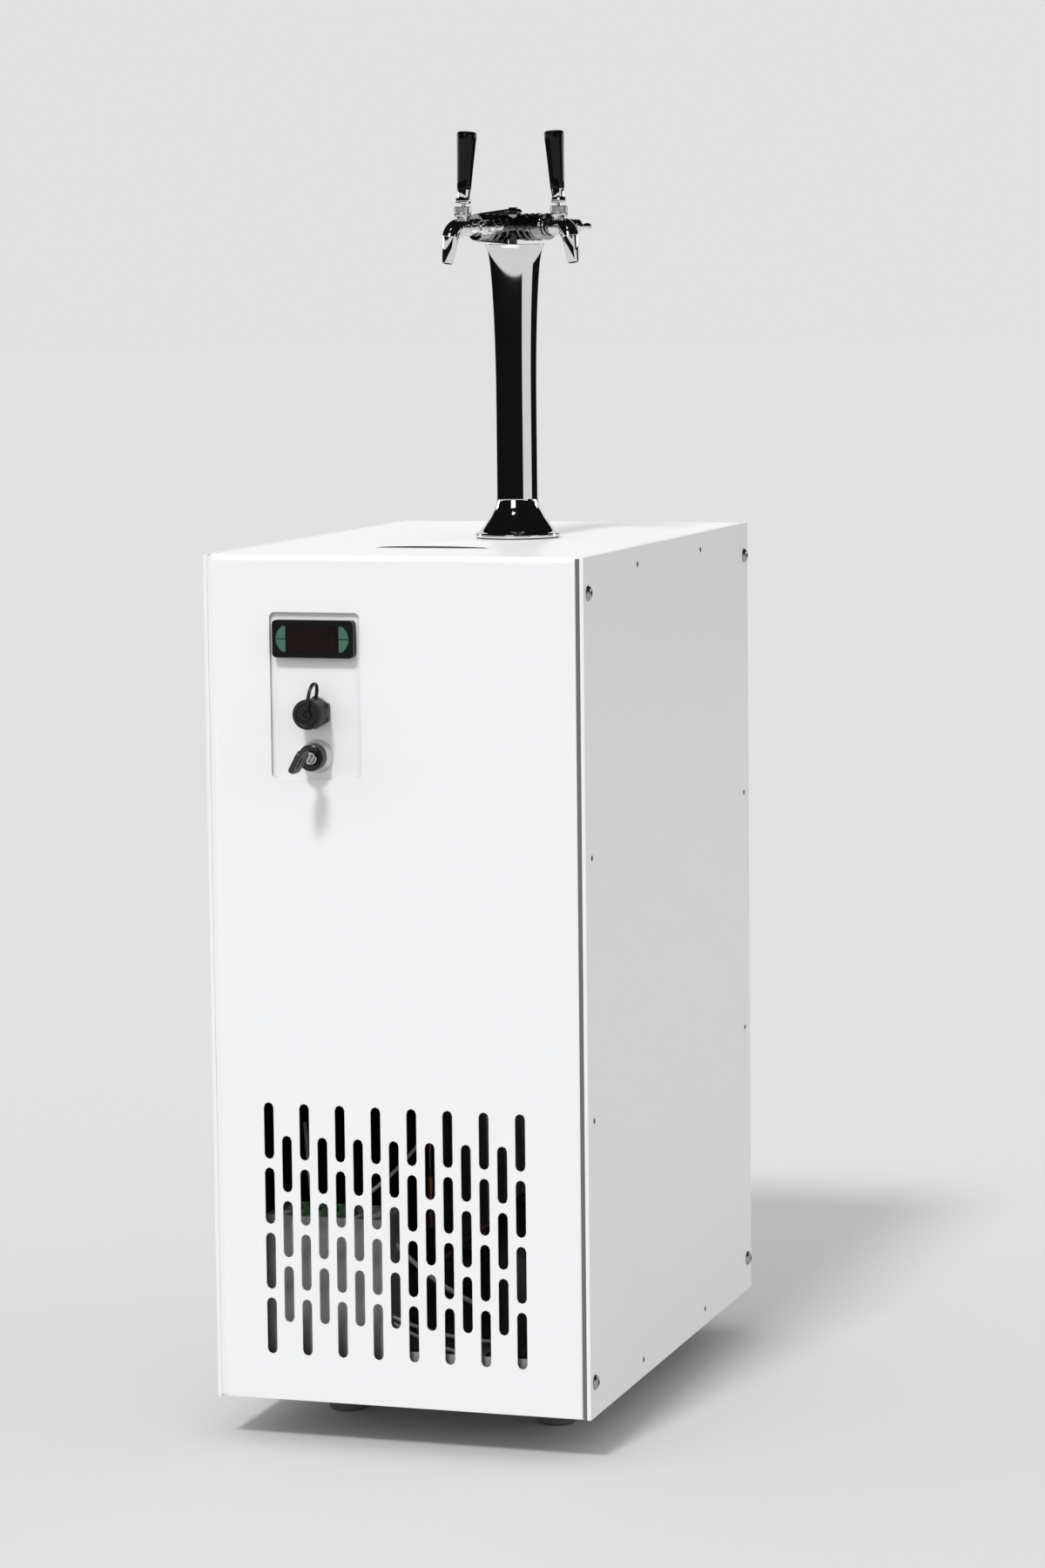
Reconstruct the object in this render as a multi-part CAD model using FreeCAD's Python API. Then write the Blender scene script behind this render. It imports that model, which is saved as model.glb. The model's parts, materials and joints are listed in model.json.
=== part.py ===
import FreeCAD, Part
import math
import os

V = FreeCAD.Vector
UP = V(0, 0, 1)
FRONT = V(0, -1, 0)
RIGHT = V(1, 0, 0)

# Millimetres. +Z is up, the front faces -Y, and the origin is on the floor at the middle of the cabinet.

# Cabinet
cabinet_width = 355.0
cabinet_depth = 560.0
cabinet_height = 768.0
foot_height = 40.0
side_plate = 3.5
sheet = 1.2
cover_gap = 1.3
cover_setback = 0.5
cover_top_gap = 0.2
cover_bottom_gap = 0.5
cover_fold = 8.5
cover_corner = 6.0
seam = 0.5
post_leg = 30.0
post_sheet = 2.0
post_inset = 9.0
tray_lip = 50.0
tray_lip_gap = 2.0
top_flange = 12.0
shelf_height = 300.0
shelf_lip = 14.0
foot_radius = 18.0
foot_bevel = 2.0
foot_side_inset = 75.0
foot_end_inset = 140.0
stud_radius = 4.0
stud_clearance = 0.3
stud_end = 6.0
bolt_inset = 14.0
bolt_low = 32.0
bolt_head_radius = 7.0
bolt_head_height = 3.6
bolt_rim = 1.0
bolt_flat_radius = 4.2
bolt_shank_radius = 3.0
bolt_clearance = 0.3

# Vents in the front cover
vent_columns = 15
vent_pitch = 17.0
vent_slot_width = 9.3
vent_slot_length = 52.0
vent_slots = 4
vent_row_pitch = 59.8
vent_bottom = 42.3
vent_offset = -5.0
vent_end_sides = 4
narrow_slot_end_sides = 2

# Recess with the controls
recess_width = 85.0
recess_height = 149.0
recess_top_inset = 51.0
recess_centre = -73.0
recess_corner = 5.0
recess_depth = 3.7
pan_margin = 1.0

# Temperature controller
controller_width = 76.5
controller_height = 33.5
controller_stand = 8.7
controller_corner = 4.0
controller_below_top = 6.5
controller_body_width = 70.5
controller_body_height = 28.5
controller_body_depth = 58.0
window_width = 45.0
window_height = 23.0
window_stand = 0.4
window_depth = 2.0
key_pad_width = 9.2
key_pad_height = 26.0
key_pad_stand = 0.9
key_pad_gap = 0.6
key_pad_edge = 3.9
key_pad_depth = 2.4
key_pad_trim = 1.5
key_travel = 0.8
key_clearance = 0.3

# Service port with its dust cap
port_below_recess_top = 89.0
port_barrel_radius = 11.0
port_barrel_length = 24.0
port_bevel = 0.8
port_bore_radius = 8.0
port_bore_depth = 20.0
port_tail_radius = 9.5
port_tail_length = 16.0
port_clearance = 0.3
port_nut_flats = 26.0
port_nut_height = 6.0
port_nut_gap = 0.5
tether_ring_width = 4.0
tether_ring_wall = 1.8
tether_sheet = 1.6
tether_width = 4.0
tether_rise = 18.0
tether_sink = 0.6
tether_eye = 1.6
cap_radius = 13.5
cap_depth = 15.0
cap_face = 2.5
cap_dish_radius = 9.5
cap_dish_depth = 1.0
cap_nub_radius = 2.2
cap_nub_height = 1.6

# Key switch
switch_below_recess_top = 128.4
switch_ring_radius = 15.2
switch_ring_height = 3.0
switch_ring_lip = 1.6
switch_barrel_radius = 12.0
switch_barrel_length = 19.0
switch_tail_radius = 11.0
switch_tail_length = 42.0
core_radius = 6.0
core_clearance = 0.3
core_stand = 1.2
core_bevel = 0.8
switch_bevel = 1.0
core_depth = 26.0
key_turn = 28.0
blade_width = 7.6
blade_thickness = 2.0
blade_length = 20.0
blade_clearance = 0.3
key_neck = 17.0
key_neck_overlap = 2.0
bow_width = 22.0
bow_length = 22.0
bow_thickness = 5.0
bow_corner = 5.0

# Drip tray in the top
drip_width = 118.0
drip_length = 120.0
drip_front = 115.0
drip_corner = 12.0
drip_gap = 0.8
drip_flange = 8.0
drip_ledge = 3.0
drip_depth = 18.0
drip_wall = 1.0
grille_slot_width = 4.0
grille_slot_length = 78.0
grille_slots = 8
grille_slot_pitch = 11.0

# Tower column
tower_right = 28.0
tower_back = 3.0
tower_bore = 16.0
gasket_thickness = 1.0
gasket_radius = 38.5
tower_base_radius = 40.0
tower_lip = 5.0
tower_bevel = 1.5
tower_flare_radius = 36.0
tower_flare_height = 22.0
tower_neck_radius = 24.0
tower_waist_radius = 19.3
tower_waist_low = 42.0
tower_waist_high = 145.0
tower_crown_low = 262.0
tower_crown_radius = 24.6
tower_rim_radius = 28.5
tower_rim_lip = 2.5
tower_height = 272.6
tower_top_plate = 6.0

# Head on the column
head_turn = 14.0
arm_spread = 42.0
arm_height = 15.4
arm_radius = 11.6
arm_length = 47.0
arm_start = 8.0
hub_top_gap = 0.4
arm_rib_radius = 12.6
arm_rib_width = 1.8
arm_rib_first = 17.0
arm_rib_pitch = 9.0
arm_ribs = 3
fin_height = 34.0
fin_depth = 25.0
fin_corner = 7.0
left_fin = 4.6
right_fin = 3.0
web_thickness = 3.0
web_end_height = 26.0
web_start = 10.0
web_drop = 1.5
head_bolt_height = 29.0
head_bolt_radius = 2.0
dome_radius = 3.7
dome_seat = 1.2
dome_height = 4.6

# Taps
flange_radius = 12.3
flange_thickness = 3.4
shank_radius = 7.4
shank_length = 9.5
collar_reach = 66.4
body_radius = 8.3
body_back = 13.2
elbow_radius = 11.0
elbow_start = 4.5
elbow_mitres = 4
spout_lean = 11.6
spout_length = 25.0
spout_tip_radius = 4.9
spout_bore_radius = 3.4
spout_bore_depth = 14.0
collar_seat = 8.5
collar_radius = 8.0
collar_height = 10.5
collar_flare = 2.5
collar_foot_radius = 6.4
collar_mouth_radius = 6.7
ball_radius = 3.4
pocket_radius = 4.5
pivot_pin_radius = 1.2
pivot_pin_reach = 4.2
ball_flat = 1.2
ball_sole = 1.6
pivot_height = 11.4
stem_radius = 2.2
nut_gap = 2.6
stem_grip = 2.0
nut_flats = 13.0
nut_height = 5.0
ferrule_radius = 5.6
ferrule_height = 8.0
handle_length = 53.0
handle_foot_radius = 6.5
handle_top_radius = 9.2
handle_dome = 2.5
handle_lean = 5.0
hub_setback = 8.1
hub_start = 17.5
hub_length = 12.3
hub_radius = 6.6
hub_neck_radius = 4.6
lever_stem_radius = 3.3
lever_stem_length = 7.0
lever_paddle_length = 8.5
lever_paddle_width = 6.6
lever_paddle_thickness = 2.6
lever_paddle_flat = 1.0
lever_pin_radius = 2.0
lever_pin_length = 6.0
lever_clearance = 0.3

# Cold block and refrigeration
block_side_gap = 42.5
block_front_gap = 120.0
block_rear_gap = 40.0
block_headroom = 46.8
block_corner = 12.0
compressor_radius = 68.0
compressor_height = 150.0
compressor_crown = 46.0
compressor_side_gap = 85.5
compressor_front_gap = 170.0
compressor_foot = 10.0
compressor_plate_width = 130.0
compressor_plate_depth = 150.0
compressor_plate = 3.0
compressor_plate_corner = 12.0
grommet_radius = 9.0
grommet_inset = 14.0
condenser_width = 240.0
condenser_height = 210.0
condenser_depth = 44.0
condenser_rear_gap = 115.0
condenser_above_tray = 12.0
fin_count = 14
fin_sheet = 1.5
fin_reach = 5.0
leg_inset = 8.0
leg_overlap = 4.0
shroud_ring_radius = 92.0
shroud_ring_depth = 18.0
fan_radius = 86.0
fan_blade_count = 5
fan_blade_pitch = 28.0
fan_blade_chord = 52.0
fan_blade_sheet = 1.8
fan_blade_root = 4.0
fan_gap = 2.0
fan_hub_bevel = 3.0
fan_hub_radius = 20.0
fan_hub_length = 16.0
fan_shaft_radius = 3.0
fan_shaft_length = 12.0
shaft_clearance = 0.05
shaft_end_gap = 0.5
motor_radius = 32.0
motor_length = 26.0
motor_gap = 4.0
motor_bevel = 3.0
motor_arms = 4
motor_arm_first = 45.0
motor_arm_width = 12.0
motor_arm_sheet = 2.0
motor_arm_beyond = 8.0
motor_arm_overlap = 4.0
control_box_width = 114.0
control_box_depth = 60.0
control_box_height = 166.0
control_box_side_gap = 41.5
control_box_front_gap = 18.0
control_box_corner = 3.0
terminal_width = 52.0
terminal_height = 9.0
terminal_depth = 14.0
terminal_setback = 4.0
terminal_ways = 6
pipe_radius = 4.0
pipe_bend = 18.0
drier_radius = 11.0
drier_length = 70.0
drier_setback = 60.0
pipe_drop = 12.0
pipe_rise = 30.0

# Rear connections
rear_slots = 12
rear_slot_width = 6.0
rear_slot_length = 84.0
rear_slot_pitch = 15.0
rear_slot_gap = 12.0
inlet_right = -75.0
inlet_spacing = 40.0
inlet_below_roof = 108.0
inlet_radius = 10.0
inlet_length = 52.0
inlet_bore = 4.8
inlet_bore_depth = 22.0
inlet_bevel = 1.0
inlet_nut_flats = 24.0
inlet_nut_height = 6.0
inlet_tail_radius = 7.5
inlet_tail_length = 14.0
power_right = 95.0
power_above_shelf = 30.0
power_width = 50.0
power_tall = 24.0
power_flange = 3.0
power_corner = 3.0
power_wall = 2.0
power_socket_width = 25.0
power_socket_tall = 17.0
power_socket_depth = 16.0
power_body_depth = 22.0

half_width = cabinet_width / 2
half_depth = cabinet_depth / 2
underside = foot_height
roof = foot_height + cabinet_height
inner_half = half_width - side_plate
cover_half = inner_half - cover_gap
cover_front = -half_depth + cover_setback
cover_back = cover_front + cover_fold
post_front = half_depth - post_inset
tray_top = underside + sheet
top_under = roof - sheet
recess_high = roof - recess_top_inset
recess_middle = recess_high - recess_height / 2
pan_face = cover_front + recess_depth
port_z = recess_high - port_below_recess_top
switch_z = recess_high - switch_below_recess_top
shelf_z = underside + shelf_height
block_low = shelf_z + sheet
condenser_front = half_depth - condenser_rear_gap
compressor_x = half_width - compressor_side_gap
compressor_y = -half_depth + compressor_front_gap
inlet_z = roof - inlet_below_roof
control_box_left = -half_width + control_box_side_gap


def box(x, y, z):
    """A box between the low and high values of each axis."""
    return Part.makeBox(x[1] - x[0], y[1] - y[0], z[1] - z[0], V(x[0], y[0], z[0]))


def rod(radius, start, direction, length):
    return Part.makeCylinder(radius, length, start, direction)


def turned(start, *moves):
    """A solid of revolution about Z from (radius, height) points.

    A move of two numbers is a straight line, one of four numbers is an arc through its first point, and one
    of more is a smooth curve through its points.
    """
    here = V(start[0], 0, start[1])
    first = here
    edges = []
    for move in moves:
        there = V(move[-2], 0, move[-1])
        if len(move) == 4:
            edges.append(Part.Arc(here, V(move[0], 0, move[1]), there).toShape())
        elif len(move) > 4:
            curve = Part.BSplineCurve()
            curve.interpolate([here] + [V(move[i], 0, move[i + 1]) for i in range(0, len(move), 2)])
            edges.append(curve.toShape())
        else:
            edges.append(Part.makeLine(here, there))
        here = there
    if (here - first).Length > 1e-6:
        edges.append(Part.makeLine(here, first))
    face = Part.Face(Part.Wire(edges))
    return face.revolve(V(0, 0, 0), UP, 360)


def crown(radius, low, high):
    """The moves for turned that close a solid with a rounded top in two slopes and a flat."""
    shoulder = radius * math.cos(math.radians(30))
    return (shoulder, (low + high) / 2), (radius / 2, high), (0, high)


def aimed(shape, start, direction):
    """The shape with its own Z axis laid along a direction from a start point."""
    placed = shape.copy()
    placed.Placement = FreeCAD.Placement(start, FreeCAD.Rotation(UP, direction))
    return placed


def prism(points, base, along):
    """A prism from points in a plane, moved to a base point and drawn out along a vector."""
    corners = [base + point for point in points]
    return Part.Face(Part.makePolygon(corners + corners[:1])).extrude(along)


def hexagon(flats, height, start, direction):
    radius = flats / math.sqrt(3)
    angles = [math.radians(60 * i) for i in range(6)]
    points = [V(radius * math.cos(angle), radius * math.sin(angle), 0) for angle in angles]
    return aimed(prism(points, V(0, 0, 0), V(0, 0, height)), start, direction)


def slot_points(width, length, end_sides):
    """The outline of an upright slot in the XZ plane, each round end in a few straight sides."""
    radius = width / 2
    straight = length / 2 - radius
    points = []
    for middle, first in ((straight, 0), (-straight, 180)):
        for i in range(end_sides + 1):
            angle = math.radians(first + 180 * i / end_sides)
            points.append(V(radius * math.cos(angle), 0, middle + radius * math.sin(angle)))
    return points


def rounded_box(x, y, z, corner, axis):
    """A box whose edges along one axis are rounded."""
    shape = box(x, y, z)
    edges = [e for e in shape.Edges if abs(e.tangentAt(e.FirstParameter).dot(axis)) > 0.99]
    return shape.makeFillet(corner, edges)


def joined(first, *others):
    return first.fuse(list(others)).removeSplitter()


def drilled(shape, *tools):
    return shape.cut(list(tools))


def save(name, *solids):
    shape = solids[0] if len(solids) == 1 else Part.makeCompound(list(solids))
    shape.exportStep("parts/%s.step" % name)


def turned_about(shape, angle, axis, point):
    placed = shape.copy()
    placed.rotate(point, axis, angle)
    return placed


# Cabinet

def corner_marks(inset_x, inset_y):
    """The four corners of the cabinet's plan, drawn in by two insets, with the way each one faces."""
    marks = []
    for right in (-1, 1):
        for back in (-1, 1):
            marks.append((right * (half_width - inset_x), back * (half_depth - inset_y), right, back))
    return marks


def feet():
    solids = []
    stud_top = foot_height + sheet + stud_end
    foot = turned((0, 0), (foot_radius - foot_bevel, 0), (foot_radius, foot_bevel),
                  (foot_radius, foot_height), (stud_radius, foot_height), (stud_radius, stud_top),
                  (0, stud_top))
    for x, y, right, back in corner_marks(foot_side_inset, foot_end_inset):
        solids.append(aimed(foot, V(x, y, 0), UP))
    save("feet", *solids)


def base_tray():
    lip_half = inner_half - post_leg
    lip_left = control_box_left + control_box_width + tray_lip_gap
    lip_z = (underside, underside + tray_lip)
    floor = box((-inner_half, inner_half), (-post_front, post_front), (underside, tray_top))
    lips = [box((lip_left, lip_half), (-post_front, -post_front + sheet), lip_z),
            box((-lip_half, lip_half), (post_front - sheet, post_front), lip_z)]
    tray = joined(floor, *lips)
    holes = [rod(stud_radius + stud_clearance, V(x, y, underside - 1), UP, sheet + 2)
             for x, y, right, back in corner_marks(foot_side_inset, foot_end_inset)]
    save("base_tray", drilled(tray, *holes))


def corner_posts():
    tall = (tray_top, top_under)
    side = box((inner_half - post_sheet, inner_half), (post_front - post_leg, post_front), tall)
    across = box((inner_half - post_leg, inner_half), (post_front - post_sheet, post_front), tall)
    corner = joined(side, across)
    posts = []
    for right in (-1, 1):
        for back in (-1, 1):
            post = corner.copy()
            if right < 0:
                post = post.mirror(V(0, 0, 0), RIGHT)
            if back < 0:
                post = post.mirror(V(0, 0, 0), FRONT)
            posts.append(post)
    save("corner_posts", *posts)


def side_bolt_places(right):
    """The four bolt centres on one side, on the inner face of its plate."""
    places = []
    for back in (-1, 1):
        for z in (underside + bolt_low, roof - bolt_low):
            places.append(V(right * inner_half, back * (half_depth - bolt_inset), z))
    return places


def side_panels():
    for name, right in (("left_side_panel", -1), ("right_side_panel", 1)):
        ends = sorted((right * inner_half, right * half_width))
        panel = box(ends, (-half_depth, half_depth), (underside, roof))
        out = V(right, 0, 0)
        holes = [rod(bolt_shank_radius + bolt_clearance, place - out, out, side_plate + 2)
                 for place in side_bolt_places(right)]
        save(name, drilled(panel, *holes))


def side_bolts():
    bolt = turned(
        (0, 0), (bolt_shank_radius, 0), (bolt_shank_radius, side_plate), (bolt_head_radius, side_plate),
        (bolt_head_radius, side_plate + bolt_rim),
        (bolt_flat_radius, side_plate + bolt_head_height), (0, side_plate + bolt_head_height))
    bolts = []
    for right in (-1, 1):
        bolts += [aimed(bolt, place, V(right, 0, 0)) for place in side_bolt_places(right)]
    save("side_bolts", *bolts)


def vent_cutters():
    """The staggered slots: full columns take turns with columns that have one slot fewer."""
    outline = slot_points(vent_slot_width, vent_slot_length, vent_end_sides)
    first_x = vent_offset - vent_pitch * (vent_columns - 1) / 2
    first_z = underside + vent_bottom + vent_slot_length / 2
    cutters = []
    for column in range(vent_columns):
        short = column % 2
        for row in range(vent_slots - short):
            z = first_z + vent_row_pitch * (row + short / 2)
            base = V(first_x + vent_pitch * column, cover_front - 1, z)
            cutters.append(prism(outline, base, V(0, sheet + 2, 0)))
    return cutters


def front_edges(shape, y, low):
    """The edges that lie in the front face, except the lowest one."""
    return [e for e in shape.Edges if abs(e.CenterOfMass.y - y) < 1e-6 and e.CenterOfMass.z > low + 1]


def front_cover():
    high = roof - cover_top_gap
    low = underside + cover_bottom_gap
    outer = box((-cover_half, cover_half), (cover_front, cover_back), (low, high))
    outer = outer.makeFillet(cover_corner, front_edges(outer, cover_front, low))
    inner_x = (-cover_half + sheet, cover_half - sheet)
    inner = box(inner_x, (cover_front + sheet, cover_back + 1), (low + sheet, high - sheet))
    inner = inner.makeFillet(cover_corner - sheet, front_edges(inner, cover_front + sheet, low + sheet))
    shell = outer.cut(inner)
    x = (recess_centre - recess_width / 2, recess_centre + recess_width / 2)
    window = rounded_box(x, (cover_front - 1, cover_front + sheet + 1),
                         (recess_high - recess_height, recess_high), recess_corner, FRONT)
    save("front_cover", drilled(shell, window, *vent_cutters()))


def control_pan():
    """The shallow pan behind the cover's opening, with cut-outs for what it carries."""
    reach_x = recess_width / 2 + pan_margin
    reach_z = recess_height / 2 + pan_margin
    front = cover_front + sheet
    outer = rounded_box((recess_centre - reach_x - sheet, recess_centre + reach_x + sheet),
                        (front, pan_face + sheet),
                        (recess_middle - reach_z - sheet, recess_middle + reach_z + sheet),
                        recess_corner + sheet, FRONT)
    inner = rounded_box((recess_centre - reach_x, recess_centre + reach_x), (front - 1, pan_face),
                        (recess_middle - reach_z, recess_middle + reach_z), recess_corner, FRONT)
    middle = controller_middle()
    cut = box((recess_centre - controller_body_width / 2, recess_centre + controller_body_width / 2),
              (pan_face - 1, pan_face + sheet + 1),
              (middle - controller_body_height / 2, middle + controller_body_height / 2))
    port_hole = rod(port_tail_radius, V(recess_centre, pan_face - 1, port_z), -FRONT, sheet + 2)
    switch_hole = rod(switch_tail_radius, V(recess_centre, pan_face - 1, switch_z), -FRONT, sheet + 2)
    save("control_pan", drilled(outer, inner, cut, port_hole, switch_hole))


def top_panel():
    low = roof - top_flange
    outer = box((-cover_half, cover_half), (cover_back + seam, post_front), (low, roof))
    inner_x = (-cover_half + sheet, cover_half - sheet)
    inner = box(inner_x, (cover_back, post_front - sheet), (low - 1, top_under))
    post_room = []
    for right in (-1, 1):
        for back in (-1, 1):
            x = sorted((right * (inner_half - post_leg - seam), right * inner_half))
            y = sorted((back * (post_front - post_leg - seam), back * half_depth))
            post_room.append(box(x, y, (low - 1, top_under)))
    bore = rod(tower_bore, V(tower_right, tower_back, low), UP, top_flange + 1)
    save("top_panel", drilled(outer, inner, bore, drip_block(0, (low, roof + 1)), *post_room))


def rear_panel():
    x = (-cover_half, cover_half)
    panel = box(x, (post_front, post_front + sheet), (tray_top, top_under - cover_top_gap))
    outline = slot_points(rear_slot_width, rear_slot_length, narrow_slot_end_sides)
    flat = [V(p.z, 0, p.x) for p in outline]
    tools = []
    low = fan_centre().z - rear_slot_pitch * (rear_slots - 1) / 2
    out = (rear_slot_length + rear_slot_gap) / 2
    for row in range(rear_slots):
        for side in (-1, 1):
            base = V(side * out, post_front - 1, low + row * rear_slot_pitch)
            tools.append(prism(flat, base, V(0, sheet + 2, 0)))
    for place in inlet_places():
        tools.append(rod(inlet_tail_radius, place + V(0, -sheet - 1, 0), -FRONT, sheet + 2))
    tools.append(power_block(power_wall, (post_front - 1, post_front + sheet + 1)))
    save("rear_panel", drilled(panel, *tools))


def partition_shelf():
    reach_x = inner_half - post_sheet
    reach_y = post_front - post_sheet
    lip_half = reach_x - post_leg
    shelf = box((-reach_x, reach_x), (-reach_y, reach_y), (shelf_z, shelf_z + sheet))
    lips = []
    for back in (-1, 1):
        y = sorted((back * reach_y, back * (reach_y - sheet)))
        lips.append(box((-lip_half, lip_half), y, (shelf_z - shelf_lip, shelf_z)))
    save("partition_shelf", joined(shelf, *lips))


# Controls in the recess

def controller_middle():
    return recess_high - controller_below_top - controller_height / 2


def key_pad_outline(grow, left):
    """A D-shaped pad in the XZ plane, flat towards the window, grown by a clearance."""
    half = key_pad_height / 2
    bulge = (half * half + key_pad_width * key_pad_width) / (2 * key_pad_width)
    flat_x = controller_width / 2 - key_pad_edge - key_pad_width
    disc = rod(bulge + grow, V(flat_x + key_pad_width - bulge, 0, 0), -FRONT, 1)
    reach = half - key_pad_trim + grow
    strip = box((flat_x - grow, flat_x + key_pad_width + grow), (0, 1), (-reach, reach))
    pad = disc.common(strip)
    return pad.mirror(V(0, 0, 0), RIGHT) if left else pad


def stretched(shape, start, depth):
    """The front face of a one millimetre blank, drawn out backwards from a start plane."""
    face = [f for f in shape.Faces if abs(f.normalAt(0, 0).y) > 0.99 and abs(f.CenterOfMass.y) < 1e-6][0]
    blank = face.extrude(V(0, depth, 0))
    blank.translate(V(recess_centre, start, controller_middle()))
    return blank


def controller():
    middle = controller_middle()
    front = pan_face - controller_stand
    half_x = controller_width / 2
    half_z = controller_height / 2
    bezel = rounded_box((recess_centre - half_x, recess_centre + half_x), (front, pan_face),
                        (middle - half_z, middle + half_z), controller_corner, FRONT)
    body = box((recess_centre - controller_body_width / 2, recess_centre + controller_body_width / 2),
               (pan_face, pan_face + controller_body_depth),
               (middle - controller_body_height / 2, middle + controller_body_height / 2))
    window_x = (recess_centre - window_width / 2, recess_centre + window_width / 2)
    window_z = (middle - window_height / 2, middle + window_height / 2)
    window_space = box(window_x, (front - 1, front + window_depth), window_z)
    pocket_depth = key_pad_depth + key_travel + key_clearance
    pockets = [stretched(key_pad_outline(key_clearance, left), front - 1, 1 + pocket_depth)
               for left in (True, False)]
    save("controller_case", drilled(joined(bezel, body), window_space, *pockets))
    save("controller_window", box(window_x, (front - window_stand, front + window_depth), window_z))
    for left, side in ((True, "left"), (False, "right")):
        pad = stretched(key_pad_outline(0, left), front - key_pad_stand, key_pad_stand + key_pad_depth)
        for upper, level in ((1, "upper"), (-1, "lower")):
            z = sorted((middle + upper * key_pad_gap / 2, middle + upper * key_pad_height))
            half_room = box((recess_centre - half_x, recess_centre + half_x), (front - 10, pan_face), z)
            half = pad.common(half_room)
            save("key_%s_%s" % (side, level), half)


def service_port():
    start = V(recess_centre, pan_face, port_z)
    nut_end = port_nut_height + port_nut_gap
    barrel = turned(
        (port_bore_radius, port_barrel_length - port_bore_depth), (port_bore_radius, port_barrel_length),
        (port_barrel_radius - port_bevel, port_barrel_length),
        (port_barrel_radius, port_barrel_length - port_bevel), (port_barrel_radius, 0),
        (port_tail_radius, 0), (port_tail_radius, -port_tail_length), (0, -port_tail_length),
        (0, port_barrel_length - port_bore_depth))
    save("port_body", aimed(barrel, start, FRONT))
    nut = hexagon(port_nut_flats, port_nut_height, start, FRONT)
    save("port_nut", drilled(nut, rod(port_barrel_radius, start - FRONT, FRONT, port_nut_height + 2)))

    # The dust cap covers the barrel's front, and its strap ends in a ring that slides on the barrel.
    skirt = port_barrel_radius + port_clearance
    cap_low = port_barrel_length + port_clearance + cap_face - cap_depth
    cap_high = cap_low + cap_depth
    cap = turned(
        (skirt, cap_low), (cap_radius, cap_low), (cap_radius, cap_high), (cap_dish_radius, cap_high),
        (cap_dish_radius, cap_high - cap_dish_depth), (cap_nub_radius, cap_high - cap_dish_depth),
        (cap_nub_radius, cap_high + cap_nub_height), (0, cap_high + cap_nub_height), (0, cap_high - cap_face),
        (skirt, cap_high - cap_face))
    save("port_cap", aimed(cap, start, FRONT))

    ring_low = nut_end
    ring_high = ring_low + tether_ring_width
    ring_outer = skirt + tether_ring_wall
    ring = turned((skirt, ring_low), (ring_outer, ring_low), (ring_outer, ring_high), (skirt, ring_high))
    leg_front = cap_high + tether_sheet
    leg_back = ring_low + (tether_ring_width - tether_sheet) / 2
    middle = (leg_front + leg_back) / 2
    outer = (leg_front - leg_back) / 2
    arch = tether_arch(middle, outer, cap_nub_radius, ring_outer)
    hole = rod(cap_nub_radius, V(0, 0, cap_high - 1), UP, tether_sheet + 3)
    eye = rod(cap_nub_radius + tether_eye, V(0, 0, cap_high), UP, tether_sheet)
    tether = joined(ring, arch, eye).cut(hole)
    tether = turned_about(tether, 180, UP, V(0, 0, 0))
    save("port_tether", aimed(tether, start, FRONT))


def tether_arch(middle, outer, front_foot, back_foot):
    """The strap as a flat arch: up from the cap's middle, over, and down to the ring."""
    inner = outer - tether_sheet
    top = tether_rise
    arc = [V(0, top, middle + outer), V(0, top + outer, middle), V(0, top, middle - outer)]
    arc_in = [V(0, top, middle - inner), V(0, top + inner, middle), V(0, top, middle + inner)]
    front = V(0, front_foot, middle + outer)
    front_in = V(0, front_foot, middle + inner)
    back = V(0, back_foot - tether_sink, middle - outer)
    back_in = V(0, back_foot - tether_sink, middle - inner)
    edges = [Part.makeLine(front, arc[0]), Part.Arc(*arc).toShape(), Part.makeLine(arc[2], back),
             Part.makeLine(back, back_in), Part.makeLine(back_in, arc_in[0]), Part.Arc(*arc_in).toShape(),
             Part.makeLine(arc_in[2], front_in), Part.makeLine(front_in, front)]
    blade = Part.Face(Part.Wire(edges)).extrude(V(tether_width, 0, 0))
    blade.translate(V(-tether_width / 2, 0, 0))
    return blade


def key_switch():
    start = V(recess_centre, pan_face, switch_z)
    bore = core_radius + core_clearance
    ring = turned(
        (bore, -core_depth), (bore, switch_barrel_length),
        (switch_barrel_radius - switch_bevel, switch_barrel_length),
        (switch_barrel_radius, switch_barrel_length - switch_bevel),
        (switch_barrel_radius, switch_ring_height),
        (switch_ring_radius - switch_ring_lip, switch_ring_height),
        (switch_ring_radius, switch_ring_height - switch_ring_lip), (switch_ring_radius, 0),
        (switch_tail_radius, 0), (switch_tail_radius, -switch_tail_length), (0, -switch_tail_length),
        (0, -core_depth))
    save("key_switch_body", aimed(ring, start, FRONT))

    core_high = switch_barrel_length + core_stand
    core_low = -core_depth + core_clearance
    core = turned((0, core_low), (core_radius, core_low), (core_radius, core_high - core_bevel),
                  (core_radius - core_bevel, core_high), (0, core_high))
    slot_half = blade_thickness / 2 + blade_clearance
    slot_wide = blade_width / 2 + blade_clearance
    slot_low = core_high - blade_length - blade_clearance
    slot = box((-slot_half, slot_half), (-slot_wide, slot_wide), (slot_low, core_high + 1))
    save("key_switch_core", switch_aimed(core.cut(slot), start))

    blade = box((-blade_thickness / 2, blade_thickness / 2), (-blade_width / 2, blade_width / 2),
                (core_high - blade_length, core_high + key_neck + key_neck_overlap))
    bow = rounded_box((-bow_thickness / 2, bow_thickness / 2), (-bow_width / 2, bow_width / 2),
                      (core_high + key_neck, core_high + key_neck + bow_length), bow_corner, RIGHT)
    save("switch_key", switch_aimed(joined(bow, blade), start))


def switch_aimed(shape, start):
    """Lays a shape along the switch's axis with the key slot upright, then turns it as the key stands."""
    laid = aimed(shape, start, FRONT)
    return turned_about(laid, key_turn, -FRONT, start)


# Drip tray

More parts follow.
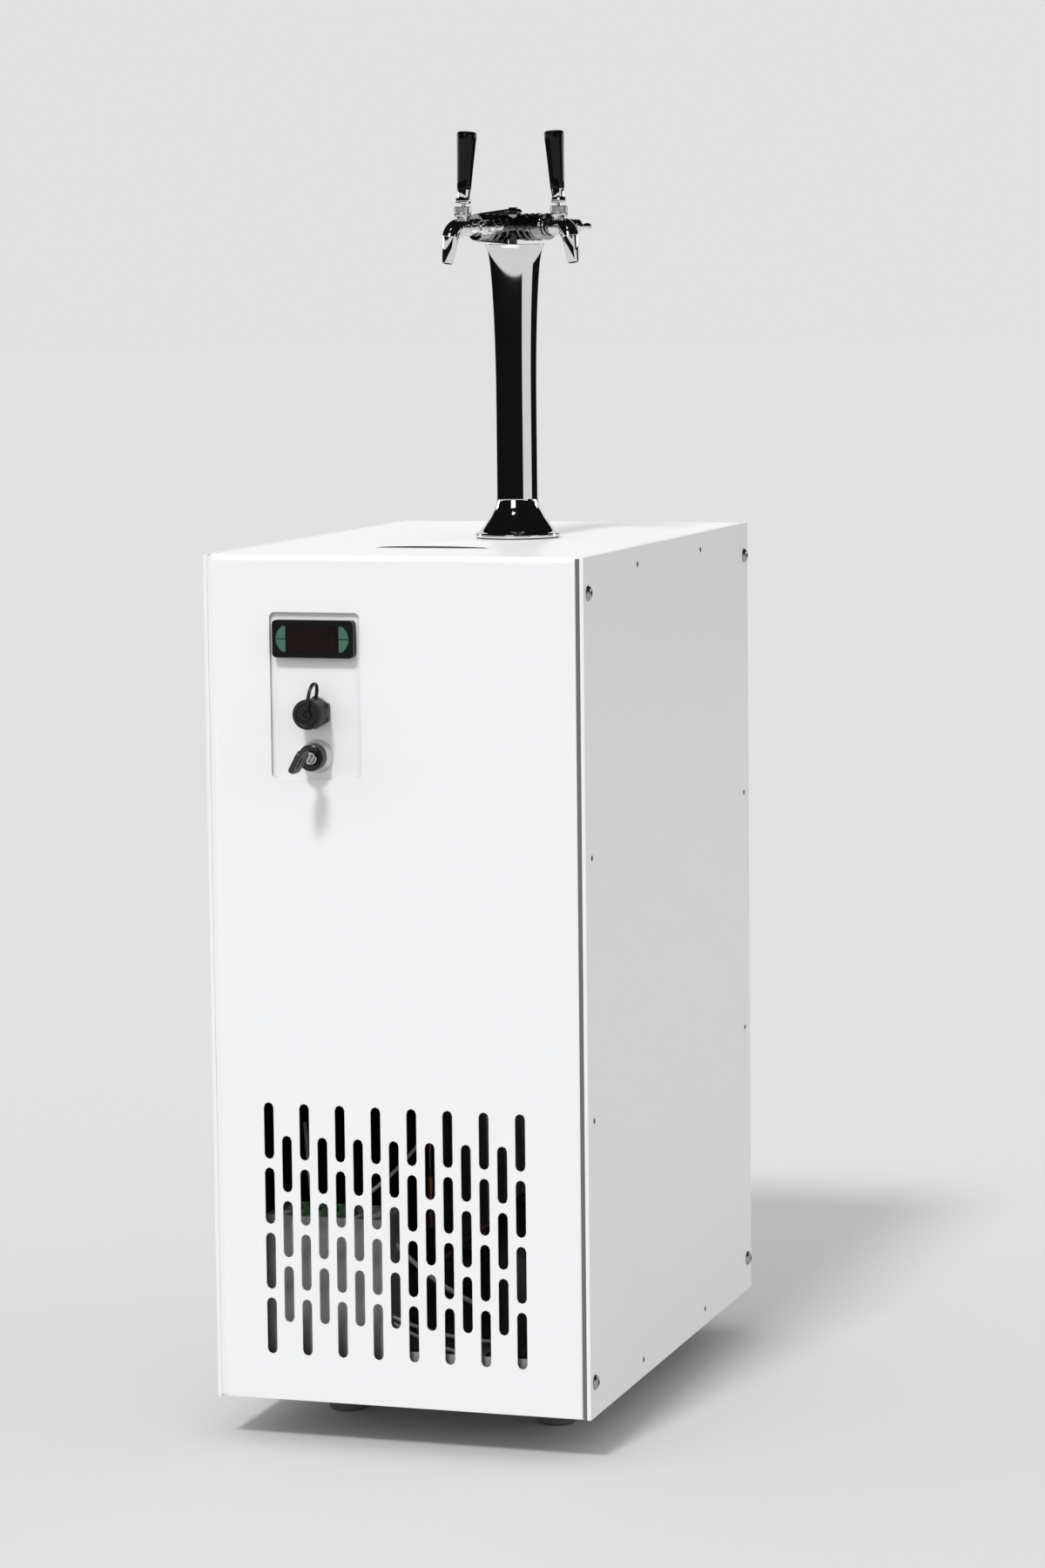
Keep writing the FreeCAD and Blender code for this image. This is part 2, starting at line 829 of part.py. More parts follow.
def drip_block(shrink, z):
    """A block with the plan of the opening in the top, drawn in by an amount or grown by a negative one."""
    low = -half_depth + drip_front
    x = (-drip_width / 2 + shrink, drip_width / 2 - shrink)
    return rounded_box(x, (low + shrink, low + drip_length - shrink), z, drip_corner - shrink / 2, UP)


def drip_tray():
    """The basin hangs under the top by its flange, and the grille lies on the flange, flush with the top."""
    flange = drip_block(-drip_flange, (top_under - drip_wall, top_under))
    tub = drip_block(drip_ledge, (roof - drip_depth, top_under - drip_wall / 2))
    inner = drip_block(drip_ledge + drip_wall, (roof - drip_depth + drip_wall, roof))
    save("drip_basin", drilled(joined(flange, tub), inner))

    plate = drip_block(drip_gap, (top_under, roof))
    upright = slot_points(grille_slot_width, grille_slot_length, narrow_slot_end_sides)
    outline = [V(p.z, p.x, 0) for p in upright]
    first = -half_depth + drip_front + (drip_length - grille_slot_pitch * (grille_slots - 1)) / 2
    slots = [prism(outline, V(0, first + grille_slot_pitch * i, top_under - 1), V(0, 0, sheet + 2))
             for i in range(grille_slots)]
    save("drip_grille", drilled(plate, *slots))


# Tower and head

def tower_column():
    base = V(tower_right, tower_back, roof)
    gasket = turned((tower_bore, 0), (gasket_radius, 0), (gasket_radius, gasket_thickness),
                    (tower_bore, gasket_thickness))
    save("tower_gasket", aimed(gasket, base, UP))
    crown_reach = tower_crown_low - tower_waist_high
    crown_flare = tower_crown_radius - tower_waist_radius
    neck_drop = tower_waist_low - tower_flare_height
    neck_flare = tower_neck_radius - tower_waist_radius
    column = turned(
        (tower_bore, 0), (tower_base_radius, 0), (tower_base_radius, tower_lip - tower_bevel),
        (tower_base_radius - tower_bevel, tower_lip), (tower_flare_radius, tower_lip + tower_bevel),
        (tower_neck_radius, tower_flare_height),
        (tower_waist_radius + neck_flare * 0.3, tower_flare_height + neck_drop * 0.45,
         tower_waist_radius, tower_waist_low),
        (tower_waist_radius, tower_waist_high),
        (tower_waist_radius + crown_flare * 0.15, tower_waist_high + crown_reach * 0.34,
         tower_waist_radius + crown_flare * 0.42, tower_waist_high + crown_reach * 0.66,
         tower_crown_radius, tower_crown_low),
        (tower_rim_radius, tower_height - tower_rim_lip), (tower_rim_radius, tower_height), (0, tower_height),
        (0, tower_height - tower_top_plate), (tower_bore, tower_height - tower_top_plate))
    save("tower_column", aimed(column, base + UP * gasket_thickness, UP))


def head_base():
    return V(tower_right, tower_back, roof + gasket_thickness + tower_height)


def arm(side):
    """One arm of the head with its raised rings, pointing to the front before it is turned to its side."""
    start = V(0, 0, arm_height)
    tube = rod(arm_radius, start + FRONT * arm_start, FRONT, arm_length - arm_start)
    rings = []
    for i in range(arm_ribs):
        at = start + FRONT * (arm_rib_first + arm_rib_pitch * i)
        rings.append(rod(arm_rib_radius, at, FRONT, arm_rib_width))
    hub_low = arm_height - arm_radius
    hub_high = head_bolt_height - dome_radius - hub_top_gap
    hub = rod(fin_depth / 2, V(0, 0, hub_low), UP, hub_high - hub_low)
    return turned_about(joined(tube, hub, *rings), side * arm_spread, UP, V(0, 0, 0))


def head_half(name, side, fin):
    low, high = sorted((0, side * fin))
    plate = rounded_box((low, high), (-fin_depth / 2, fin_depth / 2), (0, fin_height), fin_corner, RIGHT)
    plate = plate.fuse(box((low, high), (-fin_depth / 2, fin_depth / 2), (0, fin_corner)))
    far = 2 * arm_length
    room = box(sorted((0, side * far)), (-far, far), (0, far))
    half = joined(plate, arm(side).common(room))
    if side < 0:
        half_end = web_end_height / 2
        web = prism([V(0, -web_start, 0), V(0, -arm_length, arm_height - half_end),
                     V(0, -arm_length, arm_height + half_end), V(0, -web_start, fin_height - web_drop)],
                    V(-web_thickness / 2, 0, 0), V(web_thickness, 0, 0))
        web = turned_about(web, side * arm_spread, UP, V(0, 0, 0)).common(room)
        half = joined(half, web)
    hole = rod(head_bolt_radius, V(-fin_depth / 2, 0, head_bolt_height), RIGHT, fin_depth)
    save(name, placed_on_tower(half.cut(hole)))


def placed_on_tower(shape):
    return moved_to(turned_about(shape, head_turn, UP, V(0, 0, 0)), head_base())


def moved_to(shape, place):
    moved = shape.copy()
    moved.translate(place)
    return moved


def head():
    head_half("head_left", -1, left_fin)
    head_half("head_right", 1, right_fin)
    middle = V(0, 0, head_bolt_height)
    shank_length = left_fin + right_fin + 2 * dome_seat
    shank = rod(head_bolt_radius, middle - RIGHT * (left_fin + dome_seat), RIGHT, shank_length)
    dome = crown(dome_radius, dome_seat, dome_height)
    cap = turned((0, 0), (dome_radius, 0), (dome_radius, dome_seat), *dome)
    left = aimed(cap, middle - RIGHT * left_fin, -RIGHT)
    right = aimed(cap, middle + RIGHT * right_fin, RIGHT)
    save("head_bolt", placed_on_tower(joined(shank, left, right)))


# Taps, built pointing to the front with the tower's axis at the origin and the shank at height zero

def on_head(shape, angle):
    raised = moved_to(shape, V(0, 0, arm_height))
    return placed_on_tower(turned_about(raised, angle, UP, V(0, 0, 0)))


def tap_shank():
    return turned((0, 0), (flange_radius, 0), (flange_radius, flange_thickness),
                  (shank_radius, flange_thickness), (shank_radius, shank_end()), (0, shank_end()))


def shank_end():
    return collar_reach - arm_length - body_back


def tap_body():
    """The barrel and elbow in one mitred bend, the tapered spout, the bonnet's neck and the side boss."""
    reach = V(0, -collar_reach, 0)
    bend = 90 - spout_lean
    centre = reach + FRONT * elbow_start - UP * elbow_radius
    step = bend / elbow_mitres
    corner_radius = elbow_radius / math.cos(math.radians(step / 2))
    path = [reach - FRONT * body_back]
    for i in range(elbow_mitres):
        angle = math.radians(step * (i + 0.5))
        path.append(centre + FRONT * corner_radius * math.sin(angle) + UP * corner_radius * math.cos(angle))
    lean = math.radians(spout_lean)
    down = FRONT * math.sin(lean) - UP * math.cos(lean)
    top = centre + (FRONT * math.cos(lean) + UP * math.sin(lean)) * elbow_radius
    path.append(top)
    barrel = mitred_pipe(body_radius, path)
    bore_end = spout_length - spout_bore_depth
    spout = turned((0, 0), (body_radius, 0), (spout_tip_radius, spout_length),
                   (spout_bore_radius, spout_length), (spout_bore_radius, bore_end), (0, bore_end))
    neck = rod(collar_foot_radius, reach, UP, collar_seat)
    side = rod(hub_neck_radius, V(0, -collar_reach + hub_setback, 0), RIGHT, hub_start)
    body = joined(barrel, aimed(spout, top, down), neck, side)
    seat = rod(pocket_radius, reach + UP * (pivot_height - pocket_radius), UP, collar_seat)
    return drilled(body, seat)


def tap_collar():
    """The bonnet that holds the lever's pivot; its mouth lets the lever lean forward."""
    top = collar_seat + collar_height
    low = collar_seat
    profile = turned((pocket_radius, low), (collar_foot_radius, low), (collar_radius, low + collar_flare),
                     (collar_radius, top), (collar_mouth_radius, top), (pocket_radius, pivot_height + 1))
    return aimed(profile, V(0, -collar_reach, 0), UP)


def lever_stack():
    """The lever, jam nut, ferrule and handle on the line of the stem, before they lean back."""
    nut_low = collar_seat + collar_height + nut_gap
    nut_high = nut_low + nut_height
    ferrule_high = nut_high + ferrule_height
    stem_top = ferrule_high - stem_grip
    lever = turned((0, pivot_height - ball_radius), (ball_sole, pivot_height - ball_radius),
                   (ball_radius, pivot_height - ball_flat), (ball_radius, pivot_height + ball_flat),
                   (stem_radius, pivot_height + ball_radius), (stem_radius, stem_top), (0, stem_top))
    pin = rod(pivot_pin_radius, V(-pivot_pin_reach, 0, pivot_height), RIGHT, 2 * pivot_pin_reach)
    lever = joined(lever, pin)
    bore = rod(stem_radius, V(0, 0, nut_low - 1), UP, nut_height + 2)
    nut = drilled(hexagon(nut_flats, nut_height, V(0, 0, nut_low), UP), bore)
    ferrule = turned((stem_radius, nut_high), (ferrule_radius, nut_high), (ferrule_radius, ferrule_high),
                     (0, ferrule_high), (0, stem_top), (stem_radius, stem_top))
    top = ferrule_high + handle_length
    handle = turned((0, ferrule_high), (handle_foot_radius, ferrule_high),
                    (handle_top_radius, top - handle_dome), (handle_top_radius - handle_dome, top), (0, top))
    return {"lever": lever, "jam_nut": nut, "ferrule": ferrule, "handle": handle}


def flow_hub():
    bore = lever_pin_radius + lever_clearance
    floor = hub_length - lever_pin_length - lever_clearance
    hub = turned((0, 0), (hub_radius, 0), (hub_radius, hub_length),
                 (bore, hub_length), (bore, floor), (0, floor))
    return aimed(hub, V(hub_start, -collar_reach + hub_setback, 0), RIGHT)


def flow_lever():
    """A pin in the hub, a short stem and a thumb paddle."""
    start = hub_length + lever_clearance
    pin_end = hub_length - lever_pin_length
    stem_end = start + lever_stem_length
    stem = turned((0, pin_end), (lever_pin_radius, pin_end), (lever_pin_radius, start),
                  (lever_stem_radius, start), (lever_stem_radius, stem_end), (0, stem_end))
    half_paddle = lever_paddle_width / 2
    half_thickness = lever_paddle_thickness / 2
    paddle = rounded_box((-half_paddle, half_paddle), (-half_thickness, half_thickness),
                         (stem_end - half_thickness, stem_end + lever_paddle_length),
                         half_paddle - lever_paddle_flat / 2, FRONT)
    return aimed(joined(stem, paddle), V(hub_start, -collar_reach + hub_setback, 0), RIGHT)


def taps():
    for name, side in (("left", -1), ("right", 1)):
        angle = side * arm_spread
        save("%s_tap_shank" % name, on_head(aimed(tap_shank(), V(0, -arm_length, 0), FRONT), angle))
        save("%s_tap_body" % name, on_head(tap_body(), angle))
        save("%s_tap_collar" % name, on_head(tap_collar(), angle))
        for piece, solid in lever_stack().items():
            leant = turned_about(solid, handle_lean, -RIGHT, V(0, 0, pivot_height))
            save("%s_tap_%s" % (name, piece), on_head(moved_to(leant, V(0, -collar_reach, 0)), angle))
        save("%s_flow_hub" % name, on_head(flow_hub(), angle))
        save("%s_flow_lever" % name, on_head(flow_lever(), angle))


# Inside the cabinet

def cold_block():
    """The foam-clad cooling block, closed and plain, standing on the shelf."""
    half = half_width - block_side_gap
    y = (-half_depth + block_front_gap, half_depth - block_rear_gap)
    save("cold_block", rounded_box((-half, half), y, (block_low, roof - block_headroom), block_corner, UP))


def compressor():
    place = V(compressor_x, compressor_y, tray_top)
    low = compressor_foot + compressor_plate
    shoulder = low + compressor_height - compressor_crown
    pot = turned((0, low), (compressor_radius - compressor_foot, low),
                 (compressor_radius, low + compressor_crown / 2), (compressor_radius, shoulder),
                 *crown(compressor_radius, shoulder, low + compressor_height))
    half_x = compressor_plate_width / 2
    half_y = compressor_plate_depth / 2
    plate = rounded_box((-half_x, half_x), (-half_y, half_y), (compressor_foot, low),
                        compressor_plate_corner, UP)
    grommets = []
    for x in (-1, 1):
        for y in (-1, 1):
            at = V(x * (half_x - grommet_inset), y * (half_y - grommet_inset), 0)
            grommets.append(rod(grommet_radius, at, UP, compressor_foot))
    save("compressor", moved_to(joined(pot, plate, *grommets), place))


def condenser_low():
    return tray_top + condenser_above_tray


def fan_centre():
    return V(0, condenser_front + condenser_depth, condenser_low() + condenser_height / 2)


def condenser():
    half = condenser_width / 2
    front, back = condenser_front, condenser_front + condenser_depth
    low = condenser_low()
    high = low + condenser_height
    core = box((-half, half), (front + fin_reach, back - fin_reach), (low + fin_reach, high - fin_reach))
    pitch = (condenser_width - fin_sheet) / (fin_count - 1)
    fins = [box((-half + pitch * i, -half + pitch * i + fin_sheet), (front, back), (low, high))
            for i in range(fin_count)]
    legs = [box((x, x + fin_sheet), (front + leg_inset, back - leg_inset), (tray_top, low + leg_overlap))
            for x in (-half, half - fin_sheet)]
    save("condenser", joined(core, *fins, *legs))


def fan():
    centre = fan_centre()
    half = condenser_width / 2
    low = condenser_low()
    plate = box((-half, half), (centre.y, centre.y + fin_sheet), (low, low + condenser_height))
    ring_outer = shroud_ring_radius + fin_sheet
    ring = turned((shroud_ring_radius, 0), (ring_outer, 0), (ring_outer, shroud_ring_depth),
                  (shroud_ring_radius, shroud_ring_depth))
    hole = rod(shroud_ring_radius, centre + FRONT, -FRONT, fin_sheet + 2)
    save("fan_shroud", joined(plate.cut(hole), aimed(ring, centre, -FRONT)))

    hub_high = fan_gap + fan_hub_length
    shaft_high = hub_high + fan_shaft_length
    hub = turned((0, fan_gap), (fan_hub_radius - fan_hub_bevel, fan_gap),
                 (fan_hub_radius, fan_gap + fan_hub_bevel), (fan_hub_radius, hub_high),
                 (fan_shaft_radius, hub_high), (fan_shaft_radius, shaft_high), (0, shaft_high))
    half_chord = fan_blade_chord / 2
    half_sheet = fan_blade_sheet / 2
    limits = rod(fan_radius, V(0, 0, fan_gap), UP, fan_hub_length)
    blades = []
    for i in range(fan_blade_count):
        blade = box((fan_hub_radius - fan_blade_root, fan_radius), (-half_chord, half_chord),
                    (-half_sheet, half_sheet))
        blade = turned_about(blade, fan_blade_pitch, RIGHT, V(0, 0, 0))
        blade = moved_to(blade, V(0, 0, fan_gap + fan_hub_length / 2)).common(limits)
        blades.append(turned_about(blade, 360 * i / fan_blade_count, UP, V(0, 0, 0)))
    save("fan_blades", aimed(joined(hub, *blades), centre, -FRONT))

    motor_low = hub_high + motor_gap
    motor_high = motor_low + motor_length
    bore = fan_shaft_radius + shaft_clearance
    shaft_end = shaft_high + shaft_end_gap
    can = turned((bore, motor_low), (motor_radius - motor_bevel, motor_low),
                 (motor_radius, motor_low + motor_bevel), (motor_radius, motor_high), (0, motor_high),
                 (0, shaft_end), (bore, shaft_end))
    reach = shroud_ring_radius + fin_sheet + motor_arm_beyond
    arm_y = (-motor_arm_width / 2, motor_arm_width / 2)
    arm_z = (motor_low + motor_bevel, motor_low + motor_bevel + motor_arm_sheet)
    bar = box((motor_radius - motor_arm_overlap, reach), arm_y, arm_z)
    leg = box((reach - motor_arm_sheet, reach), arm_y, (fin_sheet, arm_z[1]))
    bars = [turned_about(joined(bar, leg), motor_arm_first + 360 * i / motor_arms, UP, V(0, 0, 0))
            for i in range(motor_arms)]
    save("fan_motor", aimed(joined(can, *bars), centre, -FRONT))


def control_box():
    left = control_box_left
    front = -half_depth + control_box_front_gap
    top = tray_top + control_box_height
    case = rounded_box((left, left + control_box_width), (front, front + control_box_depth), (tray_top, top),
                       control_box_corner, UP)
    save("control_box", case)
    strip_left = left + (control_box_width - terminal_width) / 2
    strip_front = front + terminal_setback
    strip = box((strip_left, strip_left + terminal_width), (strip_front, strip_front + terminal_depth),
                (top, top + terminal_height))
    pitch = terminal_width / terminal_ways
    notch_y = (front, strip_front + terminal_depth / 2)
    notch_z = (top + terminal_height / 2, top + terminal_height + 1)
    notches = [box((strip_left + pitch * (i + 0.25), strip_left + pitch * (i + 0.75)), notch_y, notch_z)
               for i in range(terminal_ways)]
    save("terminal_block", drilled(strip, *notches))


def mitred_pipe(radius, points):
    """A round bar along straight runs that meet in mitres."""
    ring = Part.Wire(Part.makeCircle(radius, points[0], points[1] - points[0]))
    return Part.makePolygon(points).makePipeShell([ring], True, False, 1)


def refrigerant_lines():
    """The hot line from compressor to condenser, and the liquid line with its drier up to the shelf."""
    high = tray_top + compressor_foot + compressor_plate + compressor_height - compressor_crown - pipe_drop
    side = compressor_x - compressor_radius
    back = condenser_front
    out = side - pipe_bend
    far = out - pipe_bend
    hot = mitred_pipe(pipe_radius, [V(side, compressor_y, high), V(out, compressor_y, high),
                                    V(far, compressor_y + pipe_bend, high), V(far, back, high)])
    half = condenser_width / 2 - pipe_bend
    low = condenser_low() + pipe_rise
    front = back - drier_setback
    liquid = mitred_pipe(pipe_radius, [V(-half, back, low), V(-half, front + pipe_bend, low),
                                       V(-half, front, low + pipe_bend), V(-half, front, shelf_z)])
    drier_low = low + pipe_rise
    drier_high = drier_low + drier_length
    drier = turned((0, drier_low), (pipe_radius, drier_low), (drier_radius, drier_low + drier_radius),
                   (drier_radius, drier_high - drier_radius), (pipe_radius, drier_high), (0, drier_high))
    save("refrigerant_lines", hot, joined(liquid, moved_to(drier, V(-half, front, 0))))


# Rear connections

def inlet_places():
    y = post_front + sheet
    return [V(inlet_right + side * inlet_spacing / 2, y, inlet_z) for side in (-1, 1)]


def beer_inlets():
    body = turned((0, -inlet_tail_length), (inlet_tail_radius, -inlet_tail_length), (inlet_tail_radius, 0),
                  (inlet_radius, 0), (inlet_radius, inlet_length - inlet_bevel),
                  (inlet_radius - inlet_bevel, inlet_length),
                  (inlet_bore, inlet_length), (inlet_bore, inlet_length - inlet_bore_depth),
                  (0, inlet_length - inlet_bore_depth))
    nut = hexagon(inlet_nut_flats, inlet_nut_height, V(0, 0, 0), UP)
    save("beer_inlets", *[aimed(joined(body, nut), place, -FRONT) for place in inlet_places()])


def power_block(grow, y):
    """A block with the plan of the power socket, grown by a wall."""
    half_x = power_socket_width / 2 + grow
    half_z = power_socket_tall / 2 + grow
    middle = shelf_z + power_above_shelf
    return box((power_right - half_x, power_right + half_x), y, (middle - half_z, middle + half_z))


def power_inlet():
    y = post_front + sheet
    z = shelf_z + power_above_shelf
    flange = rounded_box((power_right - power_width / 2, power_right + power_width / 2),
                         (y, y + power_flange), (z - power_tall / 2, z + power_tall / 2), power_corner, FRONT)
    body = power_block(power_wall, (y - power_body_depth, y))
    socket = power_block(0, (y + power_flange - power_socket_depth, y + power_flange + 1))
    save("power_inlet", drilled(joined(flange, body), socket))


os.makedirs("parts", exist_ok=True)
feet()
base_tray()
corner_posts()
side_panels()
side_bolts()
front_cover()
control_pan()
top_panel()
rear_panel()
partition_shelf()
controller()
service_port()
key_switch()
drip_tray()
tower_column()
head()
taps()
cold_block()
compressor()
condenser()
fan()
control_box()
refrigerant_lines()
beer_inlets()
power_inlet()
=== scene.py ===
import json
import math

import bmesh
import bpy
from mathutils import Matrix, Vector

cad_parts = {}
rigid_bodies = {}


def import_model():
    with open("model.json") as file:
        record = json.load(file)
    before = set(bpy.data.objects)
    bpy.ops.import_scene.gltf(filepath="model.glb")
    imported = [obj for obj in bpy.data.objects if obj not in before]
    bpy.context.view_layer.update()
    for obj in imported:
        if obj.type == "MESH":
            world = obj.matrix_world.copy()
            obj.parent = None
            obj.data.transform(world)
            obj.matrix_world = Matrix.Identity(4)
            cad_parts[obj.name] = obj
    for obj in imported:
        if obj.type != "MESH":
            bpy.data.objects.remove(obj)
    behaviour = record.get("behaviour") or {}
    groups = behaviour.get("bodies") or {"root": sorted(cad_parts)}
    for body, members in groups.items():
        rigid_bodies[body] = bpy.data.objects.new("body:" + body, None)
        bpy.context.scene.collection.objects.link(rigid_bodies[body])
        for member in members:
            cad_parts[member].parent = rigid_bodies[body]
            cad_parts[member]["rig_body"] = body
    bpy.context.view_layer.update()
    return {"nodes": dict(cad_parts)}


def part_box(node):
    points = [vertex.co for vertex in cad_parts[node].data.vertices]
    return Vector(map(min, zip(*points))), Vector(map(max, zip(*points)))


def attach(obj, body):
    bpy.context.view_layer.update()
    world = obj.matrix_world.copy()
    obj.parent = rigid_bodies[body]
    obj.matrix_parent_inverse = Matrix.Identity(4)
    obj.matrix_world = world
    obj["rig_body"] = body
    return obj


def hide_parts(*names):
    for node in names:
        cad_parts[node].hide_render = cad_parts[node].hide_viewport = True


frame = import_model()


# Sizes and places, in millimetres and degrees

MM = 0.001


def corners(node):
    """The lowest and highest corner of a CAD node at rest, to a tenth of a millimetre."""
    return [Vector([round(value / MM, 1) for value in corner]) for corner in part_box(node)]


def middle_of(node):
    low, high = corners(node)
    return (low + high) / 2


SIDE_FACE = corners("right_side_panel")[1].x
PAN_FACE = corners("port_nut")[1].y
COLUMN_AXIS = middle_of("tower_column")
COLUMN_FOOT, COLUMN_TOP = [corner.z for corner in corners("tower_column")]
HEAD_TURN = 14.0
ARM_SPREAD = 42.0
ARM_HEIGHT = 15.4
ARM_LENGTH = 47.0
TAP_REACH = 66.4
PIVOT_HEIGHT = 11.4
HANDLE_LEAN = 5.0
HUB_REACH = 17.5
HUB_BACK = 8.1
KEY_TURN = 28.0


# Shapes, drawn in millimetres and made metres when their piece is finished

FULL_TURN = 360.0
BEND_STEPS = 14
JOINED_WITHIN = 1e-4


def shift(x=0.0, y=0.0, z=0.0):
    return Matrix.Translation((x, y, z))


def turn(angle, axis):
    return Matrix.Rotation(math.radians(angle), 4, axis)


def to_front():
    """Lays Z along -Y, with the shape's own Y upwards."""
    return turn(90, "X")


def moved(bm, *places):
    """Applies placements from the last to the first."""
    matrix = Matrix.Identity(4)
    for place in places:
        matrix = matrix @ place
    bmesh.ops.transform(bm, matrix=matrix, verts=bm.verts)
    return bm


def edges_in(geometry):
    return [item for item in geometry if isinstance(item, bmesh.types.BMEdge)]


def verts_in(geometry):
    return [item for item in geometry if isinstance(item, bmesh.types.BMVert)]


def turned(profile, steps=64, sweep=FULL_TURN):
    """A shape turned about Z from (radius, height) points."""
    bm = bmesh.new()
    verts = [bm.verts.new((radius, 0, height)) for radius, height in profile]
    edges = [bm.edges.new(pair) for pair in zip(verts, verts[1:])]
    bmesh.ops.spin(bm, geom=verts + edges, cent=(0, 0, 0), axis=(0, 0, 1), angle=math.radians(sweep),
                   steps=steps, use_merge=sweep == FULL_TURN)
    bmesh.ops.remove_doubles(bm, verts=bm.verts, dist=JOINED_WITHIN)
    bmesh.ops.recalc_face_normals(bm, faces=bm.faces)
    return bm


def block(x, y, z):
    """A box between the low and high values of each axis, to be eased or to cut with."""
    bm = bmesh.new()
    bmesh.ops.create_cube(bm, size=1)
    bmesh.ops.scale(bm, vec=[high - low for low, high in (x, y, z)], verts=bm.verts)
    bmesh.ops.translate(bm, vec=[(high + low) / 2 for low, high in (x, y, z)], verts=bm.verts)
    return bm


def plate(points, depth):
    """A flat outline in the XY plane, drawn up along Z by a depth."""
    bm = bmesh.new()
    face = bm.faces.new([bm.verts.new((x, y, 0)) for x, y in points])
    drawn = bmesh.ops.extrude_face_region(bm, geom=[face])
    bmesh.ops.translate(bm, vec=(0, 0, depth), verts=verts_in(drawn["geom"]))
    bmesh.ops.recalc_face_normals(bm, faces=bm.faces)
    return bm


def ring_points(radius, count, first=0.0):
    """Points on a circle, from a first angle in degrees."""
    angles = [math.tau * i / count + math.radians(first) for i in range(count)]
    return [(radius * math.cos(angle), radius * math.sin(angle)) for angle in angles]


def drawn_on(bm, rim, way, scale=1.0):
    """Draws an open rim on by a vector, scales the new end about its middle and returns its edges."""
    made = bmesh.ops.extrude_edge_only(bm, edges=rim)["geom"]
    verts = verts_in(made)
    bmesh.ops.translate(bm, vec=way, verts=verts)
    if scale != 1.0:
        middle = sum((vert.co for vert in verts), Vector()) / len(verts)
        bmesh.ops.scale(bm, vec=(scale,) * 3, space=Matrix.Translation(-middle), verts=verts)
    end = set(verts)
    return [edge for edge in edges_in(made) if all(vert in end for vert in edge.verts)]


def swung(bm, rim, centre, angle):
    """Swings an open rim about a line along X and returns the edges of the new end."""
    verts = list({vert for edge in rim for vert in edge.verts})
    made = bmesh.ops.spin(bm, geom=rim + verts, cent=centre, axis=(1, 0, 0), angle=math.radians(angle),
                          steps=BEND_STEPS)
    return edges_in(made["geom_last"])


def closed(bm, sides):
    """Fills the open ends that have no more than a number of sides."""
    bmesh.ops.holes_fill(bm, edges=[edge for edge in bm.edges if edge.is_boundary], sides=sides)
    bmesh.ops.recalc_face_normals(bm, faces=bm.faces)
    return bm


def runs_across(edge):
    """True for a long edge that runs along X."""
    least_length = 4.0
    return abs((edge.verts[0].co - edge.verts[1].co).x) > least_length


def eased(bm, width, segments=2, limit=28.0, only=None):
    """Rounds the edges that are sharper than a limit."""
    sharp = []
    for edge in bm.edges:
        if len(edge.link_faces) == 2 and edge.calc_face_angle() > math.radians(limit):
            if only is None or only(edge):
                sharp.append(edge)
    bmesh.ops.bevel(bm, geom=sharp, offset=width, segments=segments, profile=0.5, affect="EDGES", material=-1,
                    clamp_overlap=True)
    return bm


def together(*parts):
    """Several shapes as one."""
    whole = bmesh.new()
    for part in parts:
        mesh = bpy.data.meshes.new("part")
        part.to_mesh(mesh)
        part.free()
        whole.from_mesh(mesh)
        bpy.data.meshes.remove(mesh)
    return whole


# Pieces

def new_object(name, bm):
    """An object in the scene that has a shape as its mesh."""
    mesh = bpy.data.meshes.new(name)
    bm.to_mesh(mesh)
    bm.free()
    made = bpy.data.objects.new(name, mesh)
    bpy.context.scene.collection.objects.link(made)
    return made


def smoothed(mesh, sharp):
    """Shades a mesh smooth, apart from the edges that are sharper than an angle."""
    for name in ("custom_normal", "sharp_face"):
        if name in mesh.attributes:
            mesh.attributes.remove(mesh.attributes[name])
    mesh.shade_smooth()
    mesh.set_sharp_from_angle(angle=math.radians(sharp))


def finished(name, bm, body, materials, node, sharp):
    """An object with its materials and shading that rides on a body, and may stand for a node."""
    made = new_object(name, bm)
    for material in materials:
        made.data.materials.append(material)
    smoothed(made.data, sharp)
    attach(made, body)
    if node:
        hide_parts(node)
    return made


def piece(name, bm, body, material, node=None, sharp=40.0, within=None):
    """A new piece from a shape in millimetres. Its faces with index 1 take the material within."""
    bmesh.ops.scale(bm, vec=(MM, MM, MM), verts=bm.verts)
    materials = [material, within] if within else [material]
    return finished(name, bm, body, materials, node, sharp)


def cut_away(made, tool, sharp):
    """Cuts a tool shape in millimetres out of a finished piece."""
    bmesh.ops.scale(tool, vec=(MM, MM, MM), verts=tool.verts)
    cutter = new_object("cutter", tool)
    cut = made.modifiers.new("cut", "BOOLEAN")
    cut.operation = "DIFFERENCE"
    cut.solver = "EXACT"
    cut.object = cutter
    bpy.context.view_layer.update()
    whole = bpy.data.meshes.new_from_object(made.evaluated_get(bpy.context.evaluated_depsgraph_get()))
    made.modifiers.clear()
    made.data = whole
    bpy.data.objects.remove(cutter)
    smoothed(whole, sharp)


